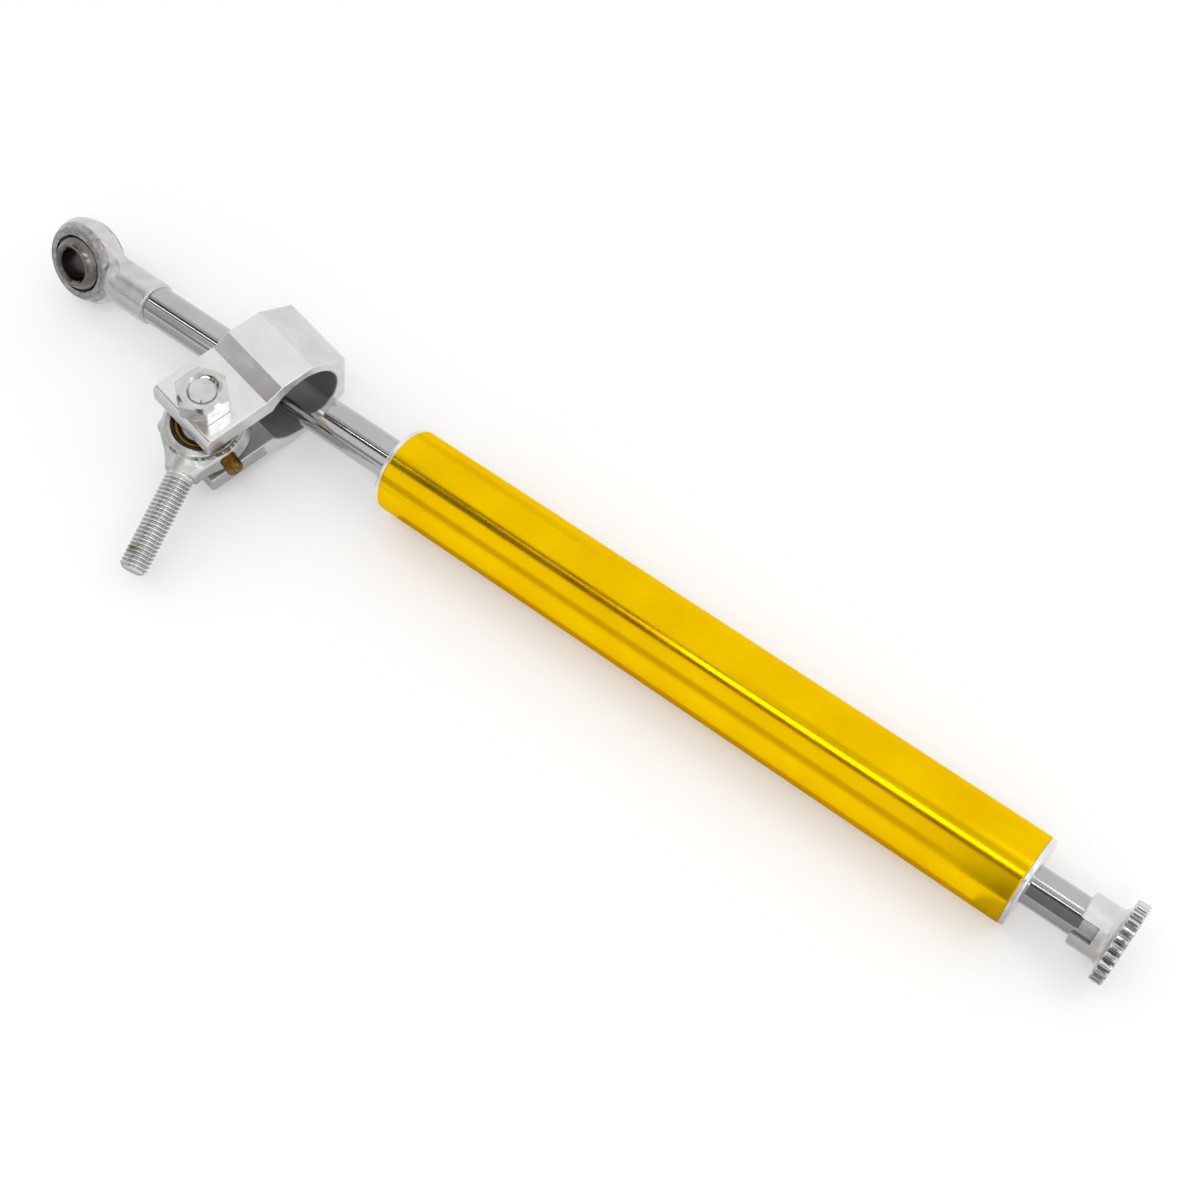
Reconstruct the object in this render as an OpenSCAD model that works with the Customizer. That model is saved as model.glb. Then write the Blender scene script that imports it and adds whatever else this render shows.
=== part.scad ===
// Motorcycle steering damper: an oil-filled cylinder with a rod through both ends.
// The front of the rod carries a ball-joint eye, the rear an adjuster knob. A two-eared
// tube clamp with a male ball-joint rod end is threaded loosely over the rod.
// Millimetres. X runs along the damper from the eye to the knob, Z is up, and the
// origin is the centre of the eye's ball.

/* [Cylinder] */
// Outer diameter of the tube
tube_od = 25.5; // [24.5:0.25:28]
// Wall of the tube
tube_wall = 1.75; // [1.25:0.25:2.25]
// Length of the tube
tube_len = 202.6; // [185:0.1:260]
// Thickness of each end cap outside the tube
cap_lip = 1.5; // [1:0.25:3]
// How far each end cap reaches into the tube
cap_depth = 24; // [22:1:30]
// Length of each rod bush
bush_len = 12; // [8:1:14]
// Length of the piston
piston_len = 16; // [10:1:22]

/* [Rod] */
// Diameter of the rod in front of the piston
rod_d = 12; // [11.4:0.2:13]
// Diameter of the rod behind the piston
rear_rod_d = 11.2; // [10.4:0.2:11.8]
// Rod showing between the eye and the front cap
front_reach = 97; // [90:1:110]
// Rod showing between the rear cap and the knob
rear_reach = 14.2; // [10:0.2:20]
// Diameter of the adjuster needle inside the rod
needle_d = 4; // [3.6:0.1:4.4]

/* [Eye] */
// Bore of the eye's ball
eye_bore_d = 10; // [8:0.5:10.5]
// Diameter of the eye's ball
eye_ball_d = 19.05; // [18.5:0.05:19.5]
// Width of the eye's ball
eye_ball_w = 14; // [13:0.5:14.5]
// Outer diameter of the eye's ring
eye_od = 26.4; // [25.6:0.1:29]
// Width of the eye's ring at its faces
eye_w = 9.8; // [9:0.2:11]
// Width of the eye's rim between its two chamfers
eye_rim_w = 4.4; // [3.8:0.2:6]
// Diameter of the eye's shank
eye_shank_d = 13.7; // [13:0.1:15]
// Distance from the ball's centre to the end of the shank
eye_shank_end = 29.3; // [27:0.1:34]
// How far the bore points above the level
eye_turn = 26; // [0:1:90]

/* [Knob] */
// Diameter of the knob's hub
hub_d = 15; // [14:0.25:17]
// Length of the knob's hub
hub_len = 7; // [6.5:0.25:9]
// Diameter of the knob over its flutes
knob_d = 23; // [22:0.5:28]
// Width of the fluted rim
rim_w = 3.6; // [3:0.1:5]
// Number of flutes
flutes = 26; // [20:1:30]
// Width of the notch in the hub
notch_w = 5; // [3:0.2:6]
// Length of the notch in the hub
notch_len = 6.2; // [4:0.2:6.4]
// Angle of the notch round the rod
notch_turn = 44; // [0:1:360]

/* [Clamp] */
// Width of the clamp along the tube
clamp_w = 24; // [20:1:28]
// Clearance between the clamp's bore and the tube it grips, at the radius
clamp_slack = 0.05; // [0.05:0.01:0.15]
// Thinnest wall round the clamp's bore
clamp_wall = 3.1; // [2.75:0.05:4]
// Thickness of each ear
ear_t = 6; // [5:0.2:8]
// Gap between the ears
ear_gap = 14.8; // [14:0.2:16]
// Distance from the bore's axis to the ears' ends
ear_reach = 33.4; // [31:0.2:40]
// Distance from the bore's axis to the bolt's axis
bolt_reach = 25.6; // [25:0.1:27]
// Clamp's centre in front of the front cap
clamp_lead = 47.7; // [46:0.1:52]

/* [Male rod end] */
// Thread diameter of the clamp bolt and of the stud
thread_d = 8; // [7:0.5:8]
// Width across the flats of the nut
nut_af = 14; // [13:0.5:15]
// Height of the nut
nut_h = 6.5; // [5:0.25:8]
// Diameter of the rod end's ball
stud_ball_d = 15.9; // [15.6:0.1:16.2]
// Width of the rod end's ball
stud_ball_w = 12; // [11:0.2:12.4]
// Outer diameter of the rod end's head
head_od = 24.4; // [23.6:0.1:25]
// Width of the rod end's head
head_w = 9; // [8:0.25:9.25]
// Distance from the ball's centre to the stud's tip
stud_reach = 46.5; // [40:0.5:56]
// Direction of the stud round the bolt
stud_turn = -65.5; // [-80:0.5:-50]

/* [Hidden] */
$fn = 96;

// Clearances, all at the radius or on one face
run_gap = 0.03;
seat_gap = 0.05;
slide_gap = 0.1;
over = 1;

// Places along the damper
front_face = eye_shank_end + front_reach;
tube_x0 = front_face + cap_lip;
tube_x1 = tube_x0 + tube_len;
rear_face = tube_x1 + cap_lip;
knob_x0 = rear_face + rear_reach;

// Radii of the cylinder and the rod
tube_r = tube_od / 2;
bore_r = tube_r - tube_wall;
rod_r = rod_d / 2;
rear_rod_r = rear_rod_d / 2;
needle_r = needle_d / 2;
needle_bore_r = needle_r + slide_gap;

// End caps: a lip on the tube's end, and a plug with a counterbore from inside
lip_inset = 0.15;
lip_round = 0.6;
plug_r = bore_r - seat_gap;
seal_len = 4.5;
bush_wall = 1.95;
pack_len = bush_len + seal_len;
cap_len = cap_lip + cap_depth;
ring_section_r = 0.8;
ring_groove_w = 2.6;
ring_groove_at = cap_lip + 5;

// Piston, midway in what its stroke leaves free
stroke = front_reach + rear_reach;
piston_spare = (tube_len - 2 * cap_depth - piston_len - stroke) / 2;
piston_x0 = tube_x0 + cap_depth + piston_spare + rear_reach;
piston_x1 = piston_x0 + piston_len;
piston_r = bore_r - seat_gap;
band_w = 4;
band_t = 1.5;
band_split = 0.6;
ports = 4;
port_r = 1;
clip_w = 1;
clip_depth = 0.6;
clip_wall = 2.1;
clip_mouth = 4;

// Rod: spigot in the eye, step behind the piston, needle bore and cross ports
spigot_r = rod_r - 1;
spigot_len = 14;
rod_step = piston_x1 + 4;
rod_in_hub = 5.8;
rod_end = knob_x0 + rod_in_hub;
port_lead = 3;
needle_seat = piston_x0 + 3;
needle_tip = needle_seat + 2;
needle_cone = 4;

// Detent ball and spring in a blind hole in the rod, under the knob's hub
detent_ball_r = 1.2;
detent_hole_r = 1.25;
detent_at = knob_x0 + 3.4;
detent_turn = notch_turn + 180;
detent_floor = needle_bore_r + 0.4;
detent_reach = rear_rod_r - seat_gap;
spring_wire = 0.4;

// Knob: hub, web, fluted rim and the screw that holds it to the needle
hub_r = hub_d / 2;
hub_round = 0.7;
hub_fillet = 2.2;
knob_r = knob_d / 2;
knob_len = hub_len + hub_fillet + rim_w;
hub_bore_r = rear_rod_r + slide_gap;
hub_bore_len = rod_in_hub + 0.8;
flute_r = 1.05;
flute_depth = 0.75;
rim_round = 0.5;
click_r = 0.35;
socket_len = 2;
screw_r = 1.5;
screw_head_r = 2.75;
screw_head_h = 2.4;
screw_len = 4.5;
screw_key_af = 2.5;
dish_r = 8;
dish_depth = 0.6;
needle_end = knob_x0 + hub_bore_len + socket_len;
knob_x1 = knob_x0 + knob_len;
needle_ring_r = 0.42;
needle_ring_at = rod_end - 10;
needle_ring_floor = needle_bore_r - 2 * needle_ring_r - 2 * seat_gap;

// Eye: ring with a race, ball and shank
eye_r = eye_od / 2;
eye_ball_r = eye_ball_d / 2;
eye_race_w = eye_w - 0.1;
eye_race_wall = 0.8;
eye_race_r = eye_ball_r + run_gap + eye_race_wall;
eye_face_r = eye_race_r + seat_gap + 0.5;
eye_shank_r = eye_shank_d / 2;
eye_neck_x = eye_r + 1.3;
eye_nose_x = eye_r - 3;
eye_nose_r = eye_w / 2 - 0.3;
eye_nose_len = 4;
eye_shank_chamfer = 0.8;
bore_chamfer = 0.8;

// Clamp: a closed C round the bore, with two flat ears
clamp_bore_r = tube_r + clamp_slack;
clamp_top = clamp_bore_r + clamp_wall;
ear_in = ear_gap / 2;
ear_out = ear_in + ear_t;
ear_bend = 12.4;
top_bend = 6.8;
top_flat = 4.2;
side_flat = 9.1;
ear_round = 1.7;
ear_inner_round = 0.6;
bolt_shift = 0.6;
bolt_r = thread_d / 2;
bolt_hole_r = bolt_r + 0.25;
bolt_head_h = 5.2;
bolt_head_af = 13;
bolt_chamfer = 0.5;
nut_chamfer = 1;
nut_sink = 0.8;
nut_turn = 30;
clamp_drop = 2.6;
clamp_at = [front_face - clamp_lead, -0.4, clamp_bore_r - rod_r - clamp_drop];
clamp_tilt = [-2.3, 8.5, -8.7];

// Male rod end: ball between spacers, head with a brass race, stud and nipple
stud_ball_r = stud_ball_d / 2;
spacer_t = (ear_gap - stud_ball_w) / 2;
spacer_r = 5.6;
stud_bore_r = bolt_r + seat_gap;
head_r = head_od / 2;
head_chamfer = 1.2;
brass_wall = 1;
brass_r = stud_ball_r + run_gap + brass_wall;
brass_step = 0.7;
brass_w = head_w - 0.6;
neck_x = 15.5;
neck_len = 4;
neck_w = 6.6;
neck_swell = 0.3;
neck_r = head_w / 2 - 0.2;
stud_chamfer = 1;
nipple_r = 2.5;
nipple_h = 4.6;
nipple_stem_r = 1.7;
nipple_stem_len = 1.6;
nipple_flat = 0.35;
nipple_turn = 58;
nub_r = 2;
nub_reach = 1.6;
nub_turn = -69;
stud_lean = [6, 11.5, stud_turn];

// Radius to the corners of a hexagon of the given width across flats
function hex_r(af) = af / 2 / cos(30);

// Angle from X of the point where a line from [x, y] touches a circle of radius r
function touch_angle(x, y, r) = atan2(y, x) + acos(r / norm([x, y]));

// A solid turned about the damper's axis from an outline of [radius, x] points
module turned(outline) {
    rotate([0, 90, 0])
        rotate_extrude()
            polygon(outline);
}

// A round bar along X from one place to another
module bar(r, from, to) {
    translate([from, 0, 0])
        rotate([0, 90, 0])
            cylinder(r = r, h = to - from);
}

// Moves a piece drawn inwards from an end cap's outer face onto the front or rear end
module at_front() {
    translate([front_face, 0, 0])
        children();
}

module at_rear() {
    translate([rear_face, 0, 0])
        mirror([1, 0, 0])
            children();
}

// Moves a piece drawn on the eye's bore axis, or in the clamp's or rod end's own frame
module in_eye() {
    rotate([90 - eye_turn, 0, 0])
        children();
}

module in_clamp() {
    translate(clamp_at)
        rotate(clamp_tilt)
            children();
}

module on_bolt() {
    in_clamp()
        translate([bolt_shift, -bolt_reach, 0])
            children();
}

module in_rod_end() {
    on_bolt()
        rotate(stud_lean)
            children();
}

// A hexagon bar with its upper corners turned off to a cone
module hex_block(af, h, chamfer) {
    intersection() {
        cylinder(r = hex_r(af), h = h, $fn = 6);
        union() {
            cylinder(r = hex_r(af) + over, h = h - chamfer);
            translate([0, 0, h - chamfer])
                cylinder(r1 = hex_r(af), r2 = hex_r(af) - 1.7 * chamfer, h = chamfer);
        }
    }
}

// A ball with two flats and a chamfered bore along Z
module joint_ball(r, w, hole_r, chamfer) {
    difference() {
        intersection() {
            sphere(r);
            cylinder(r = r + over, h = w, center = true);
        }
        cylinder(r = hole_r, h = w + over, center = true);
        for (side = [0, 180])
            rotate([side, 0, 0])
                translate([0, 0, w / 2 - chamfer])
                    cylinder(r1 = hole_r, r2 = hole_r + chamfer + 0.1, h = chamfer + 0.1);
    }
}

// End cap drawn along X from its outer face at 0 to its inner end
module end_cap(shaft_r) {
    hole_r = shaft_r + 2 * slide_gap;
    pocket_r = shaft_r + bush_wall + seat_gap;
    lip_r = tube_r - lip_inset;
    groove_r = bore_r - 2 * ring_section_r - 2 * seat_gap;
    groove_end = ring_groove_at + ring_groove_w;
    difference() {
        union() {
            turned([[0, 0], [lip_r - lip_round, 0], [lip_r, lip_round], [lip_r, cap_lip], [0, cap_lip]]);
            turned([[0, cap_lip], [plug_r, cap_lip], [plug_r, ring_groove_at], [groove_r, ring_groove_at],
                [groove_r, groove_end], [plug_r, groove_end], [plug_r, cap_len], [0, cap_len]]);
        }
        bar(hole_r, -over, cap_len + over);
        bar(pocket_r, cap_len - pack_len, cap_len + over);
    }
}

// Plain bush behind the seal, flush with the cap's inner end
module rod_bush(shaft_r) {
    difference() {
        bar(shaft_r + bush_wall, cap_len - bush_len, cap_len);
        bar(shaft_r + run_gap, cap_len - bush_len - over, cap_len + over);
    }
}

// Lip seal with its open channel towards the oil
module rod_seal(shaft_r) {
    from = cap_len - pack_len;
    channel = 0.5;
    difference() {
        bar(shaft_r + bush_wall, from, from + seal_len);
        bar(shaft_r + seat_gap, from - over, from + seal_len + over);
        difference() {
            bar(shaft_r + bush_wall / 2 + channel, from + seal_len / 2, from + seal_len + over);
            bar(shaft_r + bush_wall / 2 - channel, from, from + seal_len + 2 * over);
        }
    }
}

// Ring of round section in the cap's groove
module cap_ring() {
    translate([ring_groove_at + ring_groove_w / 2, 0, 0])
        rotate([0, 90, 0])
            rotate_extrude()
                translate([bore_r - ring_section_r - seat_gap, 0])
                    circle(ring_section_r);
}

module tube() {
    edge = 0.3;
    color("gold")
        difference() {
            turned([[0, tube_x0], [tube_r - edge, tube_x0], [tube_r, tube_x0 + edge], [tube_r, tube_x1 - edge],
                [tube_r - edge, tube_x1], [0, tube_x1]]);
            bar(bore_r, tube_x0 - over, tube_x1 + over);
        }
}

module front_cap() {
    color("gainsboro")
        at_front()
            end_cap(rod_r);
}

module rear_cap() {
    color("gainsboro")
        at_rear()
            end_cap(rear_rod_r);
}

module front_bush() {
    color("peru")
        at_front()
            rod_bush(rod_r);
}

module rear_bush() {
    color("peru")
        at_rear()
            rod_bush(rear_rod_r);
}

module front_rod_seal() {
    color("dimgray")
        at_front()
            rod_seal(rod_r);
}

module rear_rod_seal() {
    color("dimgray")
        at_rear()
            rod_seal(rear_rod_r);
}

module front_o_ring() {
    color("black")
        at_front()
            cap_ring();
}

module rear_o_ring() {
    color("black")
        at_rear()
            cap_ring();
}

// Piston with a band groove and a ring of bleed ports
module piston() {
    band_x0 = (piston_x0 + piston_x1 - band_w) / 2;
    port_at = (rod_r + piston_r - band_t) / 2;
    groove_r = piston_r - band_t;
    color("silver")
        difference() {
            bar(piston_r, piston_x0, piston_x1);
            bar(rod_r + run_gap, piston_x0 - over, piston_x1 + over);
            difference() {
                bar(tube_r, band_x0, band_x0 + band_w);
                bar(groove_r, band_x0 - over, band_x0 + band_w + over);
            }
            for (i = [0 : ports - 1])
                rotate([i * 360 / ports, 0, 0])
                    translate([0, 0, port_at])
                        bar(port_r, piston_x0 - over, piston_x1 + over);
        }
}

// Split band that seals the piston in the tube
module piston_ring() {
    middle = (piston_x0 + piston_x1) / 2;
    half = band_w / 2 - seat_gap;
    color("saddlebrown")
        difference() {
            bar(bore_r - run_gap, middle - half, middle + half);
            bar(piston_r - band_t + seat_gap, middle - band_w, middle + band_w);
            translate([middle, 0, bore_r])
                cube([2 * band_w, band_split, 4 * band_t], center = true);
        }
}

// Through rod: threaded spigot for the eye, two clip grooves, needle bore and cross ports
module rod() {
    clip_floor = rod_r - clip_depth;
    front_clip = piston_x0 - seat_gap - clip_w;
    rear_clip = piston_x1 + seat_gap;
    chamfer = 0.6;
    color("lightgray")
        difference() {
            union() {
                turned([[0, eye_shank_end - spigot_len], [spigot_r - chamfer, eye_shank_end - spigot_len],
                    [spigot_r, eye_shank_end - spigot_len + chamfer], [spigot_r, eye_shank_end],
                    [rod_r, eye_shank_end], [rod_r, front_clip], [clip_floor, front_clip],
                    [clip_floor, front_clip + clip_w], [rod_r, front_clip + clip_w], [rod_r, rear_clip],
                    [clip_floor, rear_clip], [clip_floor, rear_clip + clip_w], [rod_r, rear_clip + clip_w],
                    [rod_r, rod_step], [rear_rod_r, rod_step], [rear_rod_r, rod_end - chamfer],
                    [rear_rod_r - chamfer, rod_end], [0, rod_end]]);
            }
            bar(needle_bore_r, needle_seat, rod_end + over);
            bar(port_r, piston_x0 - port_lead - port_r, needle_seat + over);
            for (x = [piston_x0 - port_lead, rod_step + port_lead])
                translate([x, 0, 0])
                    cylinder(r = port_r, h = 2 * rod_d, center = true);
            translate([detent_at, 0, 0])
                rotate([detent_turn, 0, 0])
                    translate([0, 0, detent_floor])
                        cylinder(r = detent_hole_r, h = rear_rod_d);
        }
}

// Two open clips that hold the piston endwise on the rod
module piston_circlips() {
    inner = rod_r - clip_depth + seat_gap / 2;
    color("slategray")
        for (x = [piston_x0 - seat_gap - clip_w, piston_x1 + seat_gap])
            difference() {
                bar(inner + clip_wall, x, x + clip_w);
                bar(inner, x - over, x + clip_w + over);
                translate([x + clip_w / 2, 0, rod_r])
                    cube([2 * clip_w, clip_mouth, rod_d], center = true);
            }
}

module detent_ball() {
    color("lightsteelblue")
        translate([detent_at, 0, 0])
            rotate([detent_turn, 0, 0])
                translate([0, 0, detent_reach - detent_ball_r])
                    sphere(detent_ball_r);
}

// Short coil under the detent ball, drawn as the tube that its turns fill
module detent_spring() {
    top = detent_reach - detent_ball_r - sqrt(pow(detent_ball_r, 2) - pow(detent_ball_r - spring_wire, 2));
    color("gray")
        translate([detent_at, 0, 0])
            rotate([detent_turn, 0, 0])
                difference() {
                    translate([0, 0, detent_floor])
                        cylinder(r = detent_ball_r, h = top - detent_floor - seat_gap);
                    cylinder(r = detent_ball_r - spring_wire, h = rear_rod_d);
                }
}

// Forged eye: chamfered ring, tapered neck and a shank bored for the rod's spigot
module eye_housing() {
    half = eye_w / 2;
    rim = eye_rim_w / 2;
    touch = touch_angle(eye_neck_x, eye_shank_r, eye_r);
    neck_x0 = eye_r * cos(touch);
    neck_y0 = eye_r * sin(touch);
    spigot_x0 = eye_shank_end - spigot_len - slide_gap;
    color("silver")
        difference() {
            union() {
                in_eye()
                    rotate_extrude()
                        polygon([[0, -half], [eye_face_r, -half], [eye_r, -rim], [eye_r, rim],
                            [eye_face_r, half], [0, half]]);
                in_eye()
                    linear_extrude(eye_rim_w, center = true)
                        polygon([[neck_x0, -neck_y0], [eye_neck_x, -eye_shank_r], [eye_neck_x, eye_shank_r],
                            [neck_x0, neck_y0]]);
                turned([[0, eye_nose_x], [eye_nose_r, eye_nose_x], [eye_shank_r, eye_nose_x + eye_nose_len],
                    [eye_shank_r, eye_shank_end - eye_shank_chamfer],
                    [eye_shank_r - eye_shank_chamfer, eye_shank_end], [0, eye_shank_end]]);
            }
            in_eye()
                cylinder(r = eye_race_r + seat_gap, h = eye_od, center = true);
            bar(spigot_r + seat_gap, spigot_x0, eye_shank_end + over);
        }
}

module eye_race() {
    color("gray")
        in_eye()
            difference() {
                cylinder(r = eye_race_r, h = eye_race_w, center = true);
                sphere(eye_ball_r + run_gap);
            }
}

module eye_ball() {
    color("dimgray")
        in_eye()
            joint_ball(eye_ball_r, eye_ball_w, eye_bore_d / 2, bore_chamfer);
}

// Needle that the knob drives in and out to open or close the bypass in the rod
module adjuster_needle() {
    ring_half = needle_ring_r + seat_gap;
    color("darkgray")
        difference() {
            turned([[0, needle_tip], [0.6, needle_tip], [needle_r, needle_tip + needle_cone],
                [needle_r, needle_ring_at - ring_half], [needle_ring_floor, needle_ring_at - ring_half],
                [needle_ring_floor, needle_ring_at + ring_half], [needle_r, needle_ring_at + ring_half],
                [needle_r, needle_end], [0, needle_end]]);
            bar(screw_r + seat_gap, needle_end - screw_len, needle_end + over);
        }
}

module needle_o_ring() {
    color("black")
        translate([needle_ring_at, 0, 0])
            rotate([0, 90, 0])
                rotate_extrude()
                    translate([needle_bore_r - needle_ring_r - seat_gap, 0])
                        circle(needle_ring_r);
}

// Knob: turned hub with a sweeping fillet into a scalloped rim, and a notch that shows the rod
module adjuster_knob() {
    rim_x0 = hub_len + hub_fillet;
    face_r = knob_r - flute_depth - rim_round;
    color("whitesmoke")
        translate([knob_x0, 0, 0])
            difference() {
                union() {
                    difference() {
                        turned([[0, 0], [hub_r - hub_round, 0], [hub_r, hub_round], [hub_r, hub_len],
                            [hub_r + hub_fillet, rim_x0], [hub_r + hub_fillet, rim_x0 + over], [0, rim_x0 + over]]);
                        rotate([0, 90, 0])
                            rotate_extrude()
                                translate([hub_r + hub_fillet, hub_len])
                                    circle(hub_fillet);
                    }
                    intersection() {
                        translate([rim_x0, 0, 0])
                            rotate([0, 90, 0])
                                linear_extrude(rim_w)
                                    fluted_disc();
                        turned([[0, rim_x0], [face_r, rim_x0], [knob_r, rim_x0 + rim_round],
                            [knob_r, knob_len - rim_round], [face_r, knob_len], [0, knob_len]]);
                    }
                }
                rotate([0, 90, 0])
                    translate([0, 0, -over])
                        linear_extrude(hub_bore_len + over)
                            click_bore();
                bar(needle_r + run_gap, 0, hub_bore_len + socket_len + seat_gap);
                bar(screw_r + slide_gap, 0, knob_len + over);
                bar(screw_head_r + slide_gap, knob_len - dish_depth - screw_head_h, knob_len + over);
                bar(dish_r, knob_len - dish_depth, knob_len + over);
                rotate([notch_turn, 0, 0])
                    translate([-over, -notch_w / 2, 0])
                        cube([notch_len + over, notch_w, hub_d]);
            }
}

// Outline of the rim: a disc with rounded scallops
module fluted_disc() {
    difference() {
        circle(knob_r);
        for (i = [0 : flutes - 1])
            rotate(i * 360 / flutes)
                translate([knob_r + flute_r - flute_depth, 0])
                    circle(flute_r, $fn = 24);
    }
}

// Outline of the hub's bore: a round hole with one shallow click groove a flute
module click_bore() {
    circle(hub_bore_r);
    for (i = [0 : flutes - 1])
        rotate(i * 360 / flutes)
            translate([hub_bore_r, 0])
                circle(click_r, $fn = 16);
}

// Socket screw that ties the knob to the needle
module knob_screw() {
    head_x0 = knob_x1 - dish_depth - screw_head_h;
    color("gray")
        difference() {
            union() {
                bar(screw_head_r, head_x0, head_x0 + screw_head_h);
                bar(screw_r, needle_end - screw_len + slide_gap, head_x0 + over);
            }
            translate([head_x0 + screw_head_h / 2, 0, 0])
                rotate([0, 90, 0])
                    cylinder(r = hex_r(screw_key_af), h = screw_head_h, $fn = 6);
        }
}

// Outline of the clamp across the tube: Y towards the closed side, Z through the ears
module clamp_outline() {
    side = clamp_bore_r + clamp_wall;
    difference() {
        union() {
            polygon([[-ear_bend, ear_out], [-top_bend, clamp_top], [top_flat, clamp_top], [side, side_flat],
                [side, -side_flat], [top_flat, -clamp_top], [-top_bend, -clamp_top], [-ear_bend, -ear_out]]);
            for (flip = [0, 1])
                mirror([0, flip])
                    ear_outline();
        }
        circle(clamp_bore_r);
        translate([-2 * ear_reach, -ear_in])
            square([2 * ear_reach, ear_gap]);
    }
}

// Outline of one ear, with its end rounded off
module ear_outline() {
    length = ear_reach - ear_bend + over;
    translate([-ear_reach + ear_round, ear_in])
        square([length - ear_round, ear_t]);
    translate([-ear_reach, ear_in + ear_inner_round])
        square([length, ear_t - ear_round - ear_inner_round]);
    translate([-ear_reach + ear_round, ear_out - ear_round])
        circle(ear_round);
    translate([-ear_reach + ear_inner_round, ear_in])
        square([ear_round, ear_t / 2]);
    translate([-ear_reach + ear_inner_round, ear_in + ear_inner_round])
        circle(ear_inner_round);
}

// Extruded clamp, cut to width and drilled through both ears for the bolt
module clamp_bracket() {
    color("lightgray")
        in_clamp()
            difference() {
                rotate([90, 0, 90])
                    linear_extrude(clamp_w, center = true)
                        clamp_outline();
                translate([bolt_shift, -bolt_reach, 0])
                    cylinder(r = bolt_hole_r, h = 3 * ear_out, center = true);
            }
}

// Hexagon bolt from below, its chamfered end flush with the nut
module clamp_bolt() {
    end = ear_out + nut_h;
    color("silver")
        on_bolt() {
            translate([0, 0, -ear_out])
                cylinder(r = bolt_r, h = ear_out + end - bolt_chamfer);
            translate([0, 0, end - bolt_chamfer])
                cylinder(r1 = bolt_r, r2 = bolt_r - bolt_chamfer, h = bolt_chamfer);
            translate([0, 0, -ear_out])
                mirror([0, 0, 1])
                    hex_block(bolt_head_af, bolt_head_h, nut_chamfer);
        }
}

// Thick nut with a wide countersink round the bolt's end
module clamp_nut() {
    color("gainsboro")
        on_bolt()
            translate([0, 0, ear_out])
                difference() {
                    rotate(nut_turn)
                        hex_block(nut_af, nut_h, nut_chamfer);
                    translate([0, 0, -over])
                        cylinder(r = bolt_r + seat_gap, h = nut_h + 2 * over);
                    translate([0, 0, nut_h - nut_sink])
                        cylinder(r1 = bolt_r + seat_gap, r2 = bolt_r + seat_gap + 4 * nut_sink, h = 2 * nut_sink);
                }
}

// Two plain washers that centre the ball between the ears
module ball_spacers() {
    color("silver")
        on_bolt()
            for (flip = [0, 1])
                mirror([0, 0, flip])
                    translate([0, 0, stud_ball_w / 2])
                        difference() {
                            cylinder(r = spacer_r, h = spacer_t);
                            translate([0, 0, -over])
                                cylinder(r = stud_bore_r, h = spacer_t + 2 * over);
                        }
}

module stud_ball() {
    color("gray")
        on_bolt()
            joint_ball(stud_ball_r, stud_ball_w, stud_bore_r, bore_chamfer / 2);
}

// Forged head with a flared neck and a threaded stud, and a round nub opposite the nipple
module stud_eye_housing() {
    half = head_w / 2;
    flat_r = head_r - nipple_flat;
    neck_y = bolt_r + neck_swell;
    touch = touch_angle(neck_x, neck_y, head_r);
    touch_x = head_r * cos(touch);
    touch_y = head_r * sin(touch);
    color("lightgray")
        in_rod_end()
            difference() {
                union() {
                    rotate_extrude()
                        polygon([[0, -half], [head_r - head_chamfer, -half], [head_r, head_chamfer - half],
                            [head_r, half - head_chamfer], [head_r - head_chamfer, half], [0, half]]);
                    linear_extrude(neck_w, center = true)
                        polygon([[touch_x, -touch_y], [neck_x, -neck_y], [neck_x, neck_y], [touch_x, touch_y]]);
                    turned([[0, brass_r], [neck_r, brass_r], [neck_r, neck_x - neck_len], [neck_y, neck_x],
                        [neck_y, neck_x + neck_swell], [bolt_r, neck_x + 2 * neck_swell],
                        [bolt_r, stud_reach - stud_chamfer], [bolt_r - stud_chamfer, stud_reach],
                        [0, stud_reach]]);
                    rotate(nub_turn) {
                        bar(nub_r, brass_r, head_r + nub_reach - nub_r / 2);
                        translate([head_r + nub_reach - nub_r / 2, 0, 0])
                            rotate([0, 90, 0])
                                cylinder(r1 = nub_r, r2 = nub_r / 2, h = nub_r / 2);
                    }
                }
                cylinder(r = brass_r + seat_gap, h = head_od, center = true);
                rotate(nipple_turn) {
                    bar(nipple_stem_r + seat_gap, flat_r - nipple_stem_len - seat_gap, head_od);
                    bar(nipple_r + seat_gap, flat_r, head_od);
                }
            }
}

// Brass race with a stepped face on each side
module stud_eye_race() {
    color("darkgoldenrod")
        in_rod_end()
            difference() {
                cylinder(r = brass_r, h = brass_w, center = true);
                sphere(stud_ball_r + run_gap);
                for (side = [0, 180])
                    rotate([side, 0, 0])
                        translate([0, 0, brass_w / 2 - brass_step / 2])
                            cylinder(r = brass_r - brass_step, h = brass_step);
            }
}

// Brass nipple: stem in the head, round body with a chamfered end
module grease_nipple() {
    flat_r = head_r - nipple_flat;
    tip = flat_r + nipple_h;
    color("peru")
        in_rod_end()
            rotate(nipple_turn)
                turned([[0, flat_r - nipple_stem_len], [nipple_stem_r, flat_r - nipple_stem_len],
                    [nipple_stem_r, flat_r], [nipple_r, flat_r], [nipple_r, tip - 0.5], [nipple_r - 0.5, tip],
                    [0, tip]]);
}

tube();
front_cap();
rear_cap();
front_bush();
rear_bush();
front_rod_seal();
rear_rod_seal();
front_o_ring();
rear_o_ring();
piston();
piston_ring();
rod();
piston_circlips();
detent_ball();
detent_spring();
eye_housing();
eye_race();
eye_ball();
adjuster_needle();
needle_o_ring();
adjuster_knob();
knob_screw();
clamp_bracket();
clamp_bolt();
clamp_nut();
ball_spacers();
stud_ball();
stud_eye_housing();
stud_eye_race();
grease_nipple();
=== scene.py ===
import math

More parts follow.
